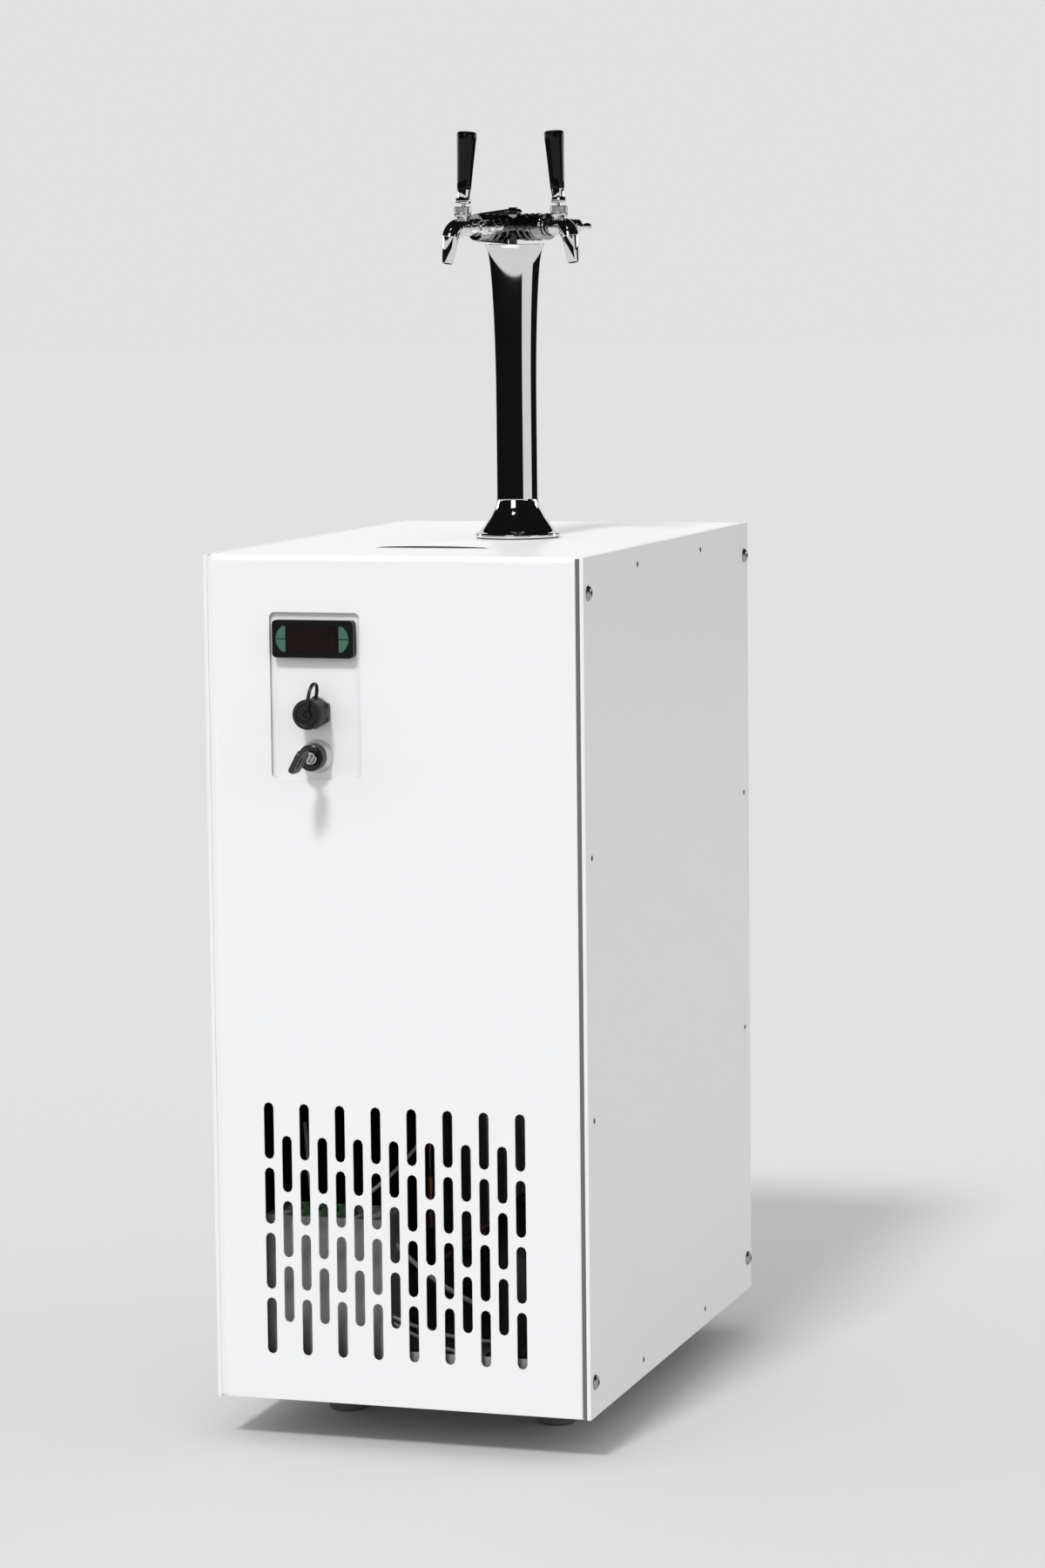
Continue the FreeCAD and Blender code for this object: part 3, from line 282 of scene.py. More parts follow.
def dressed(node, material, ease=0.0, segments=2, sharp=35.0, in_painted_shade=None, borders=()):
    """A copy of a node with eased edges and smooth shading, shown in its place.

    Faces that a test finds inside take the black lining, painted shade, and borders are planes that part them
    from the rest.
    """
    joined_within, flat_within, eased_from = 1e-6, 0.4, 32.0
    bm = bmesh.new()
    bm.from_mesh(frame["nodes"][node].data)
    bmesh.ops.remove_doubles(bm, verts=bm.verts, dist=joined_within)
    bmesh.ops.dissolve_limit(bm, angle_limit=math.radians(flat_within), verts=bm.verts, edges=bm.edges)
    if ease:
        eased(bm, ease * MM, segments, eased_from)
    for place, across in borders:
        bmesh.ops.bisect_plane(bm, geom=bm.verts[:] + bm.edges[:] + bm.faces[:],
                               plane_co=[MM * value for value in place], plane_no=across)
    for face in bm.faces:
        face.material_index = int(in_painted_shade is not None and in_painted_shade(face))
    materials = [material, inner_painted_shade] if in_painted_shade else [material]
    body = frame["nodes"][node]["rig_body"]
    made = finished(node + "_finished", bm, body, materials, node, sharp)
    even = made.modifiers.new("even_flats", "WEIGHTED_NORMAL")
    even.mode = "FACE_AREA"
    even.weight = 100
    even.keep_sharp = True


def painted(node, material):
    """Gives a node that stays as it is its finish."""
    materials = frame["nodes"][node].data.materials
    materials.clear()
    materials.append(material)


# Materials

def feed(tree, socket, value):
    """Links another node's output to a socket, or sets the socket's own value."""
    if isinstance(value, bpy.types.NodeSocket):
        tree.links.new(value, socket)
    else:
        socket.default_value = value


def maths(tree, operation, *values):
    """A Math node's result from numbers or the outputs of other nodes."""
    node = tree.nodes.new("ShaderNodeMath")
    node.operation = operation
    for socket, value in zip(node.inputs, values):
        feed(tree, socket, value)
    return node.outputs[0]


def noise(tree, place, scale, detail=2.0):
    node = tree.nodes.new("ShaderNodeTexNoise")
    feed(tree, node.inputs["Vector"], place)
    feed(tree, node.inputs["Scale"], scale)
    feed(tree, node.inputs["Detail"], detail)
    return node.outputs["Fac"]


def pattern_group(name, **inputs):
    """An empty group with number inputs, and its inputs as they are seen from within."""
    group = bpy.data.node_groups.new(name, "ShaderNodeTree")
    for label, value in inputs.items():
        socket = group.interface.new_socket(label, in_out="INPUT", socket_type="NodeSocketFloat")
        socket.default_value = value
    for label in ("Factor", "Height"):
        group.interface.new_socket(label, in_out="OUTPUT", socket_type="NodeSocketFloat")
    return group, group.nodes.new("NodeGroupInput").outputs


def given_out(group, level, spread, height):
    """Gives out a factor that differs from one as a level differs from a half, and a height."""
    end = group.nodes.new("NodeGroupOutput")
    factor = maths(group, "MULTIPLY_ADD", maths(group, "SUBTRACT", level, 0.5), spread, 1.0)
    feed(group, end.inputs["Factor"], factor)
    feed(group, end.inputs["Height"], height)
    return group


def fine_grain_group():
    """An even grain with a slow drift over it."""
    group, start = pattern_group("fine_grain", Scale=900.0, Spread=0.1, Detail=3.0)
    place = group.nodes.new("ShaderNodeTexCoord").outputs["Object"]
    grain = noise(group, place, start["Scale"], start["Detail"])
    drift = noise(group, place, 9.0)
    level = maths(group, "MULTIPLY", maths(group, "ADD", grain, drift), 0.5)
    return given_out(group, level, start["Spread"], grain)


def brushed_group():
    """Long fine lines along X, for rolled and brushed metal."""
    group, start = pattern_group("brushed_lines", Across=2600.0, Along=60.0, Spread=0.3)
    place = group.nodes.new("ShaderNodeSeparateXYZ")
    feed(group, place.inputs[0], group.nodes.new("ShaderNodeTexCoord").outputs["Object"])
    drawn = group.nodes.new("ShaderNodeCombineXYZ")
    for axis, label in (("X", "Along"), ("Y", "Across"), ("Z", "Across")):
        feed(group, drawn.inputs[axis], maths(group, "MULTIPLY", place.outputs[axis], start[label]))
    lines = noise(group, drawn.outputs[0], 1.0)
    return given_out(group, lines, start["Spread"], lines)


fine_grain = fine_grain_group()
brushed_lines = brushed_group()


def finish(name, colour, roughness, metallic=0.0, grain=900.0, spread=0.1, detail=3.0, lines=False, bump=0.0,
           tint=0.04, specular=0.5):
    """A material whose roughness, shade and relief come from one of the shared groups.

    Spread and tint are how far roughness and colour change over the surface. Bump is the relief's height in
    millimetres.
    """
    material = bpy.data.materials.new(name)
    material.use_nodes = True
    tree = material.node_tree
    shader = tree.nodes["Principled BSDF"]
    shader.inputs["Metallic"].default_value = metallic
    shader.inputs["Specular IOR Level"].default_value = specular
    group = tree.nodes.new("ShaderNodeGroup")
    group.node_tree = brushed_lines if lines else fine_grain
    group.inputs["Spread"].default_value = spread
    if not lines:
        group.inputs["Scale"].default_value = grain
        group.inputs["Detail"].default_value = detail
    rough = maths(tree, "MULTIPLY", group.outputs["Factor"], roughness)
    rough.node.use_clamp = True
    feed(tree, shader.inputs["Roughness"], rough)
    shade = tree.nodes.new("ShaderNodeMix")
    shade.data_type = "RGBA"
    shade.inputs["A"].default_value = (*[level * (1 - tint) for level in colour], 1)
    shade.inputs["B"].default_value = (*[min(1.0, level * (1 + tint)) for level in colour], 1)
    feed(tree, shade.inputs["Factor"], group.outputs["Height"])
    feed(tree, shader.inputs["Base Color"], shade.outputs["Result"])
    if bump:
        relief = tree.nodes.new("ShaderNodeBump")
        relief.inputs["Strength"].default_value = 1.0
        relief.inputs["Distance"].default_value = bump * MM
        feed(tree, relief.inputs["Height"], group.outputs["Height"])
        feed(tree, shader.inputs["Normal"], relief.outputs["Normal"])
    return material


POWDER_COAT = dict(grain=700, spread=0.25, bump=0.02, tint=0.006)
POLISHED = dict(metallic=1.0, grain=120, spread=0.8, tint=0.01)
MOULDED = dict(grain=1800, spread=0.3, bump=0.012, tint=0.15)

cover_white = finish("cover_white_powder_coat", (0.895, 0.90, 0.91), 0.36, **POWDER_COAT)
side_white = finish("side_white_powder_coat", (0.89, 0.89, 0.89), 0.42, **POWDER_COAT)
# Black lining for the faces inside the cabinet: painted shade that keeps the inside dark through the vents.
inner_painted_shade = finish("painted_shade_black_lining", (0.012, 0.012, 0.012), 0.9, grain=1200, bump=0.3, tint=0.3,
                     specular=0.1)
frame_black = finish("black_frame_paint", (0.02, 0.02, 0.021), 0.5, bump=0.03, tint=0.1)
zinc_grey = finish("galvanised_sheet", (0.42, 0.42, 0.425), 0.5, 0.55, grain=260, spread=0.7, bump=0.05,
                   tint=0.16)
chrome = finish("polished_chrome", (0.80, 0.80, 0.81), 0.045, **POLISHED)
# A darker copy of the chrome for the head's halves and the tap shanks: painted dark reflection.
dark_reflection_chrome = finish("painted_dark_reflection_chrome", (0.38, 0.38, 0.39), 0.06, **POLISHED)
satin_chrome = finish("satin_chrome", (0.66, 0.66, 0.665), 0.2, 1.0, lines=True, spread=0.5, bump=0.01,
                      tint=0.05)
ring_steel = finish("bright_bezel", (0.62, 0.62, 0.625), 0.3, 1.0, spread=0.5, bump=0.01, tint=0.05)
# Dark grey for the right-hand cover strip: painted shade in the gap beside the cover.
gap_painted_shade_grey = finish("painted_shade_gap_rubber", (0.16, 0.16, 0.155), 0.8, grain=1500, bump=0.03, tint=0.1,
                   specular=0.1)
# Near-black inside of the spout: painted shade in its bore.
bore_painted_shade = finish("shaded_spout_bore", (0.02, 0.02, 0.02), 0.45, bump=0.02, tint=0.2, specular=0.2)
cable_grey = finish("grey_cable_sheath", (0.55, 0.55, 0.55), 0.5, grain=1300, bump=0.01, tint=0.06)
# Mid grey feet, painted the tone of the shadow under the cabinet so that they vanish into it.
shadow_grey_feet = finish("feet_in_floor_shadow_grey", (0.13, 0.13, 0.13), 0.8, grain=1500, bump=0.05, tint=0.15,
                     specular=0.1)
bolt_steel = finish("stainless_steel", (0.38, 0.38, 0.38), 0.27, 1.0, lines=True, spread=0.5, bump=0.01,
                    tint=0.06)
black_rubber = finish("black_rubber", (0.022, 0.022, 0.023), 0.6, grain=2200, bump=0.04, tint=0.2)
black_case = finish("black_moulded_case", (0.014, 0.014, 0.015), 0.32, **MOULDED)
controller_black = finish("black_controller_case", (0.006, 0.006, 0.0065), 0.3, specular=0.14, **MOULDED)
cap_black = finish("black_moulded_cap", (0.009, 0.009, 0.0095), 0.38, grain=1500, spread=0.3, bump=0.02,
                   tint=0.2, specular=0.4)
key_black = finish("black_key_bow", (0.02, 0.02, 0.02), 0.45, grain=1600, spread=0.3, bump=0.03, tint=0.2)
gloss_black = finish("gloss_black_handle", (0.004, 0.004, 0.0045), 0.07, grain=200, spread=0.3, tint=0.1,
                     specular=0.2)
barrel_black = finish("black_switch_barrel", (0.008, 0.008, 0.009), 0.2, grain=200, spread=0.3, tint=0.1)
window_red = finish("dark_red_window", (0.009, 0.005, 0.005), 0.2, grain=60, spread=0.4, detail=1.0,
                    tint=0.45, specular=0.12)
pad_green = finish("green_soft_key", (0.046, 0.135, 0.09), 0.6, grain=1700, spread=0.3, bump=0.08, tint=0.22)
terminal_green = finish("green_terminal_strip", (0.03, 0.10, 0.025), 0.5, bump=0.03, tint=0.15)
tray_white = finish("white_moulded_tray", (0.86, 0.86, 0.86), 0.35, grain=1500, bump=0.02, tint=0.01)
foam_black = finish("closed_cell_foam", (0.03, 0.03, 0.03), 0.85, grain=500, detail=5.0, bump=0.5, tint=0.3,
                    specular=0.2)
enamel_black = finish("black_enamel", (0.015, 0.015, 0.015), 0.25, grain=400, spread=0.4, bump=0.05,
                      tint=0.15)
fin_aluminium = finish("fin_aluminium", (0.62, 0.62, 0.63), 0.35, 1.0, lines=True, spread=0.6, bump=0.02,
                       tint=0.08)
pipe_copper = finish("copper_pipe", (0.60, 0.30, 0.19), 0.3, 1.0, grain=90, spread=0.8, tint=0.18)
fitting_brass = finish("nickelled_brass", (0.56, 0.54, 0.49), 0.22, 1.0, grain=300, spread=0.5, tint=0.06)


# Cabinet

def side_panel(node, inwards):
    """A side panel with the black lining, painted shade, on its inner face apart from its front and back
    edges and the top's edge.
    """
    white_edge = 18
    end = corners(node)[1].y - white_edge
    top = corners("top_panel")[0].z

    def in_painted_shade(face):
        middle = face.calc_center_median() / MM
        return face.normal.x * inwards > 0.5 and abs(middle.y) < end and middle.z < top

    borders = [((0, -end, 0), (0, 1, 0)), ((0, end, 0), (0, 1, 0)), ((0, 0, top), (0, 0, 1))]
    dressed(node, side_white, 0.35, in_painted_shade=in_painted_shade, borders=borders)


def panel_shaded_inside(node, material, ease, inwards):
    """A panel whose faces that look inwards take the black lining, painted shade."""
    def in_painted_shade(face):
        return face.normal.dot(Vector(inwards)) > 0.5

    dressed(node, material, ease, in_painted_shade=in_painted_shade)


def cabinet():
    panel_shaded_inside("front_cover", cover_white, 0.25, (0, 1, 0))
    dressed("control_pan", cover_white, 0.2)
    panel_shaded_inside("top_panel", cover_white, 0.2, (0, 0, -1))
    side_panel("left_side_panel", 1)
    side_panel("right_side_panel", -1)
    panel_shaded_inside("rear_panel", side_white, 0.2, (0, -1, 0))
    painted("base_tray", zinc_grey)
    painted("corner_posts", frame_black)
    painted("partition_shelf", zinc_grey)
    dressed("feet", shadow_grey_feet, 0.8)
    dressed("drip_basin", tray_white)


def drip_insert():
    """The insert in the top, with a black lip at its front that paints in the dark shadow line of the gap
    there.
    """
    dressed("drip_grille", cover_white, 0.2)
    half_width, rise, wall, count = 54, 1.5, 0.8, 10
    inset, proud = 0.6, 0.2
    across = [i / count for i in range(-count, count + 1)]
    lip = plate([(half_width * t, rise * (1 - t ** 2) ** 0.5) for t in across], wall)
    low, high = corners("drip_grille")
    moved(lip, shift(0, low.y + inset, high.z + proud), to_front())
    piece("grille_front_shade_lip", lip, "grille", black_rubber)


def cover_beads():
    """The strips in the grooves between the front cover's rounded corners and the side panels: the right one
    dark grey, painted shade in its gap, the left one white so that its groove shows no shade.
    """
    low, high = corners("front_cover")
    gap = corners("right_side_panel")[0].x - high.x
    face, back, behind_corner, beside_edge, end_room = 0.8, 4.0, -3.0, -0.34, 1.0
    section = [(behind_corner, face), (gap, face), (gap, back), (beside_edge, back)]
    strips = [("left_cover_bead", -1, side_white, "white_paint"),
              ("right_cover_painted_shade_strip", 1, gap_painted_shade_grey, "black_rubber")]
    for name, right, material, slot in strips:
        outline = [(right * (high.x + x), low.y + y) for x, y in section]
        strip = plate(outline, high.z - low.z - 2 * end_room)
        piece(name, moved(strip, shift(z=low.z + end_room)), "cabinet", material)


def on_side(right, y, z):
    """A place on a side panel's outer face, with the shape's Z outwards."""
    return shift(right * SIDE_FACE, y, z) @ turn(90 * right, "Y")


def side_bolts():
    """The dome heads at the side panels' corners, with a hexagon socket in each."""
    dome = [(0, 3.6), (2.4, 3.55), (4.4, 3.0), (6.0, 1.9), (6.8, 0.7), (7.0, 0.2), (7.0, 0), (0, 0)]
    socket, socket_floor, from_end, from_top, sharp = 2.3, 1.6, 14, 32, 30
    low, high = corners("right_side_panel")
    rows, levels = (low.y + from_end, high.y - from_end), (low.z + from_top, high.z - from_top)
    places = [on_side(right, y, z) for right in (-1, 1) for y in rows for z in levels]
    heads = [moved(turned(dome, 32), place) for place in places]
    tools = [moved(plate(ring_points(socket, 6), 3.0), place, shift(z=socket_floor)) for place in places]
    bolts = piece("side_bolt_heads", together(*heads), "cabinet", bolt_steel, "side_bolts", sharp)
    cut_away(bolts, together(*tools), sharp)


def side_rivets():
    """The small dark blind rivets along each side panel's edges."""
    dome = [(0, 0.5), (1.6, 0.42), (2.5, 0.15), (2.7, -0.2), (0, -0.2)]
    places = [(y, z) for z in (791.5, 56) for y in (-110, 105)]
    places += [(y, z) for y in (-261, 261) for z in (542, 307)]
    rivets = [moved(turned(dome, 20), on_side(right, y, z)) for right in (-1, 1) for y, z in places]
    piece("side_rivets", together(*rivets), "cabinet", cap_black)


# Controls

def thermostat():
    dressed("controller_case", controller_black, 0.35)
    dressed("controller_window", window_red, 0.15)
    for side in ("left", "right"):
        for level in ("upper", "lower"):
            dressed("key_%s_%s" % (side, level), pad_green, 0.3)


def on_pan(node):
    """The place on the pan's face where a round control stands, with the shape's Z to the front."""
    middle = middle_of(node)
    return shift(middle.x, PAN_FACE, middle.z) @ to_front()


def port():
    """The service port's barrel and nut, and the ribbed dust cap over it."""
    place = on_pan("port_body")
    barrel = turned([(8, 4), (8, 24), (10.4, 24), (11, 23.4), (11, 0), (9.5, 0), (9.5, -16), (0, -16), (0, 4),
                     (8, 4)], 48)
    piece("port_barrel", moved(eased(barrel, 0.3), place), "cabinet", satin_chrome, "port_body")
    nut = eased(plate(ring_points(15.0, 6, 30), 6), 0.9, 3)
    piece("port_lock_nut", moved(nut, place), "cabinet", black_case, "port_nut")
    foot, pitch, ribs = 13.0, 2.6, 5
    skirt = [(11.3, 12.2), (13.0, 12.2)]
    for low in [foot + pitch * i for i in range(ribs)]:
        skirt += [(13.5, low), (13.5, low + 1.3), (12.7, low + 1.7), (12.7, low + 2.2)]
    crown = [(13.3, 26.2), (12.9, 27.1), (10.2, 27.3), (9.7, 26.9), (9.2, 26.2), (2.6, 26.0)]
    nub = [(2.4, 27.8), (1.6, 28.6), (0, 28.8)]
    inner = [(0, 24.7), (11.3, 24.7), (11.3, 12.2)]
    cap = turned(skirt + crown + nub + inner, 64)
    piece("port_dust_cap", moved(cap, place), "dust_cap", cap_black, "port_cap", 50)


def port_strap():
    """The dust cap's strap: a band up from the cap's middle, over in a half turn and down to its ring."""
    width, wall, front, back, start, rise, end = 3.2, 1.6, 28.5, 8.0, 2.0, 17.5, 12.6
    band = bmesh.new()
    bmesh.ops.create_grid(band, x_segments=1, y_segments=1, size=0.5)
    bmesh.ops.scale(band, vec=(width, wall, 1), verts=band.verts)
    moved(band, shift(0, start, front), to_front())
    bmesh.ops.delete(band, geom=band.faces[:], context="FACES_ONLY")
    rim = drawn_on(band, band.edges[:], (0, rise - start, 0))
    rim = swung(band, rim, (0, rise, (front + back) / 2), -180)
    drawn_on(band, rim, (0, end - rise, 0))
    eased(closed(band, 4), 0.5, 2, 50)
    ring = turned([(11.3, 6.5), (13.1, 6.5), (13.1, 10.5), (11.3, 10.5), (11.3, 6.5)], 48)
    pad = turned([(2.4, 27.7), (4.4, 27.7), (4.4, 29.3), (2.4, 29.3), (2.4, 27.7)], 32)
    whole = moved(together(band, eased(ring, 0.4), eased(pad, 0.3)), on_pan("port_body"), turn(-10, "Z"))
    piece("port_cap_strap", whole, "dust_cap", cap_black, "port_tether", 50)


def key_switch():
    """The key switch's bezel and barrel, and its core with the key's slot."""
    place, sharp = on_pan("key_switch_body"), 30
    ring = turned([(11.5, 0), (15.2, 0), (15.2, 1.0), (14.9, 1.9), (14.0, 4.2), (13.2, 7.0), (12.8, 9.2),
                   (12.4, 9.6), (11.5, 9.6), (11.5, 0)], 72)
    barrel = turned([(6.3, -26), (6.3, 18.2), (6.9, 19), (10.9, 19), (11.7, 18.5), (12, 17.6), (12, 1),
                     (11, 1), (11, -42), (0, -42), (0, -26), (6.3, -26)], 72)
    piece("switch_bezel", moved(ring, place), "cabinet", ring_steel, "key_switch_body", sharp)
    piece("switch_barrel", moved(barrel, place), "cabinet", barrel_black, None, sharp)
    core = turned([(0, -25.7), (6, -25.7), (6, 19.4), (5.4, 20.2), (3.2, 20.2), (2.9, 19.9), (0, 19.9)], 48)
    core = moved(core, place, turn(-KEY_TURN, "Z"))
    made = piece("switch_core", core, "key_core", satin_chrome, "key_switch_core", sharp)
    slot = block((-1.3, 1.3), (-4.1, 4.1), (0.0, 22.0))
    cut_away(made, moved(slot, place, turn(-KEY_TURN, "Z")), sharp)


def switch_key():
    """The key: its blade, the collar under the bow, and the bow with its hole."""
    place, sharp = on_pan("key_switch_body") @ turn(-KEY_TURN, "Z"), 45
    blade = eased(block((-0.9, 0.9), (-3.7, 3.7), (0.3, 39.0)), 0.2, 1)
    collar = eased(block((-2.1, 2.1), (-6.0, 6.0), (33.5, 39.0)), 0.8, 2)
    bow = eased(block((-2.5, 2.5), (-11, 11), (37.2, 59.2)), 4.6, 5, 50, only=runs_across)
    bow = together(eased(bow, 0.9, 3, 50), collar)
    made = piece("switch_key_bow", moved(bow, place), "key", key_black, "switch_key", sharp)
    hole = eased(block((-5, 5), (-5.5, 5.5), (50.0, 54.0)), 1.9, 4, 50, only=runs_across)
    cut_away(made, moved(hole, place), sharp)
    piece("switch_key_blade", moved(blade, place), "key", satin_chrome)


# Tower and head

def tower():
    """The ring at the foot and the flared column."""
    dressed("tower_gasket", black_rubber, 0.2)
    foot = [(16, 0), (39.2, 0), (39.8, 0.3), (40, 0.9), (40, 2.6), (39.8, 3.4), (39.2, 4.0), (37.6, 4.5),
            (36.4, 5.0)]
    flare = [(35.4, 6.0), (33, 8.7), (30.4, 12.2), (27.8, 15.8), (25.6, 18.9), (23.9, 21.6), (22.6, 24.2),
             (21.5, 27.0), (20.5, 30.2), (19.7, 33.4), (19.32, 35.6)]
    waist = [(19.3, 37), (19.3, 48), (19.3, 70), (19.3, 100), (19.3, 130), (19.4, 150), (19.7, 170),
             (20.2, 190)]
    crown = [(20.9, 210), (21.8, 228), (22.8, 243), (23.9, 255), (25.1, 263), (26.4, 267.6), (27.7, 270.4)]
    rim = [(28.3, 271.4), (28.5, 271.9), (28.52, 272.15), (28.48, 272.4), (28.3, 272.57), (28.0, 272.6),
           (0, 272.6)]
    column = turned(foot + flare + waist + crown + rim, 72)
    moved(column, shift(COLUMN_AXIS.x, COLUMN_AXIS.y, COLUMN_FOOT))
    made = piece("tower_polished", column, "cabinet", chrome, "tower_column", 60)
    smoother = made.modifiers.new("smooth", "SUBSURF")
    smoother.levels = smoother.render_levels = 2


def head_place():
    return shift(COLUMN_AXIS.x, COLUMN_AXIS.y, COLUMN_TOP) @ turn(HEAD_TURN, "Z")


def head():
    """The two halves of the head and the bolt across them."""
    # The head's halves take the darker chrome, painted dark reflection.
    dressed("head_left", dark_reflection_chrome, 0.6, 3)
    dressed("head_right", dark_reflection_chrome, 0.6, 3)
    height, left_end, right_end = 29, -4.6, 3.0
    dome = [(0, 4.6), (1.4, 4.4), (2.6, 3.6), (3.4, 2.4), (3.7, 1.2), (3.7, 0), (0, 0)]
    left = moved(turned(dome, 32), shift(left_end, 0, height), turn(-90, "Y"))
    right = moved(turned(dome, 32), shift(right_end, 0, height), turn(90, "Y"))
    shank = turned([(0, 0), (2, 0), (2, 9), (0, 9)], 24)
    moved(shank, shift(left_end - 0.6, 0, height), turn(90, "Y"))
    bolt = moved(together(left, right, shank), head_place())
    piece("head_cross_bolt", bolt, "cabinet", chrome, "head_bolt")


# Taps, each drawn about its own upright axis with its spout to the front

def tap_flange():
    flange = turned([(0, 0), (12.0, 0), (12.3, 0.4), (12.3, 2.9), (11.9, 3.4), (8.2, 3.5), (7.9, 3.9),
                     (7.4, 4.4), (7.4, 6.0), (6.7, 6.2), (6.7, 7.2), (7.3, 7.4), (0, 6.2)], 56)
    return moved(flange, shift(0, -ARM_LENGTH, 0), to_front())


def tap_body():
    """Barrel, elbow and tapered spout drawn from one ring, with the side boss and the neck."""
    barrel, socket, groove, lean = 8.3, 6.4, 6.9, 11.6
    barrel_back, bend_front, bend_drop = 13.2, 4.5, 11.0
    bm = bmesh.new()
    bmesh.ops.create_circle(bm, cap_ends=False, segments=40, radius=barrel)
    moved(bm, shift(0, barrel_back - TAP_REACH, 0), to_front())
    rim = bm.edges[:]
    for length, scale in ((0, socket / barrel), (3.0, groove / socket), (2.6, barrel / groove),
                          (2.0, 1.02), (10.1, 1 / 1.02)):
        rim = drawn_on(bm, rim, (0, -length, 0), scale)
    rim = swung(bm, rim, (0, -TAP_REACH - bend_front, -bend_drop), 90 - lean)
    down = Vector((0, -math.sin(math.radians(lean)), -math.cos(math.radians(lean))))
    for length, scale in ((0.5, 1.0), (0.3, 0.93), (0.5, 0.995), (22.9, 4.95 / 7.66), (0.5, 0.95)):
        rim = drawn_on(bm, rim, down * length, scale)
    outside = set(bm.faces)
    for length, scale in ((0.0, 3.5 / 4.7), (-0.6, 0.97), (-13.0, 0.95)):
        rim = drawn_on(bm, rim, down * length, scale)
    closed(bm, 80)
    # The faces inside the spout take the second material, painted shade.
    for face in bm.faces:
        face.material_index = int(face not in outside)
    neck = turned([(4.5, 6.9), (4.5, 8.5), (6.4, 8.5), (6.4, 0), (0, 0)], 48)
    moved(neck, shift(0, -TAP_REACH, 0))
    boss = turned([(0, 0), (5.4, 0), (5.4, 9.6), (4.6, 10.8), (4.6, HUB_REACH), (0, HUB_REACH)], 40)
    moved(boss, shift(0, HUB_BACK - TAP_REACH, 0), turn(90, "Y"))
    return together(bm, neck, boss)


def tap_bonnet():
    """A round skirt under a band of upright flutes."""
    skirt = turned([(4.5, 8.5), (6.4, 8.5), (7.3, 9.3), (8.0, 10.8), (8.0, 12.4), (7.7, 12.9), (7.7, 13.3),
                    (6.9, 13.5), (4.5, 13.5)], 48)
    band = turned([(6.8, 13.3), (7.9, 13.3), (8.1, 13.6), (8.1, 18.3), (7.6, 18.9), (6.7, 19.0), (5.4, 16.0),
                   (4.5, 12.6)], 60)
    outer_radius, least_area = 8.0, 2.0
    flanks = []
    for face in band.faces:
        middle = face.calc_center_median()
        if face.normal.z ** 2 < 0.02 and middle.xy.length > outer_radius and face.calc_area() > least_area:
            flanks.append((math.atan2(middle.y, middle.x), face))
    flanks.sort(key=lambda flank: flank[0])
    for angle, face in flanks[:-1:3]:
        bmesh.ops.inset_region(band, faces=[face], thickness=0.15, depth=-0.55, use_even_offset=True)
    return moved(together(skirt, band), shift(0, -TAP_REACH, 0))


def tap_stem():
    return turned([(0, 7.4), (1.6, 7.4), (3.0, 8.4), (3.9, 10.0), (4.0, 11.4), (3.9, 12.8), (3.2, 14.4),
                   (2.2, 15.6), (2.2, 32.6), (0, 32.6)], 32)


def tap_lock_nut():
    return moved(eased(plate(ring_points(7.5, 6), 5.0), 0.7, 2), shift(z=21.6))


def tap_ferrule():
    return turned([(2.2, 26.6), (5.3, 26.6), (5.6, 26.9), (5.6, 28.4), (5.9, 31.8), (6.2, 34.3), (6.0, 34.6),
                   (0, 34.6)], 48)


def tap_handle():
    return turned([(0, 34.6), (6.1, 34.6), (6.35, 34.8), (6.5, 35.3), (7.0, 45), (7.6, 57), (8.3, 69),
                   (8.9, 79), (9.15, 84.0), (9.1, 85.6), (8.7, 86.7), (7.9, 87.4), (6.0, 87.6),
                   (0, 87.6)], 64)


def flow_housing():
    flats = eased(plate(ring_points(7.0, 6), 6.0), 0.5, 2)
    hub = turned([(5.0, 5.4), (6.2, 5.4), (6.5, 5.9), (6.5, 11.6), (5.9, 12.3), (2.4, 12.3), (2.4, 5.4),
                  (5.0, 5.4)], 48)
    return together(flats, hub)


def flow_lever():
    """The stem of the small side lever with its flattened paddle."""
    stem = turned([(0, 6.3), (2.0, 6.3), (2.0, 12.6), (3.0, 12.6), (3.3, 12.9), (3.3, 14.4), (2.5, 16.2),
                   (2.2, 17.6), (2.4, 18.8), (2.9, 20.0), (0, 20.0)], 32)
    paddle = bmesh.new()
    bmesh.ops.create_uvsphere(paddle, u_segments=28, v_segments=16, radius=1.0)
    bmesh.ops.scale(paddle, vec=(3.2, 1.5, 5.4), verts=paddle.verts)
    return together(stem, moved(paddle, shift(z=22.6)))


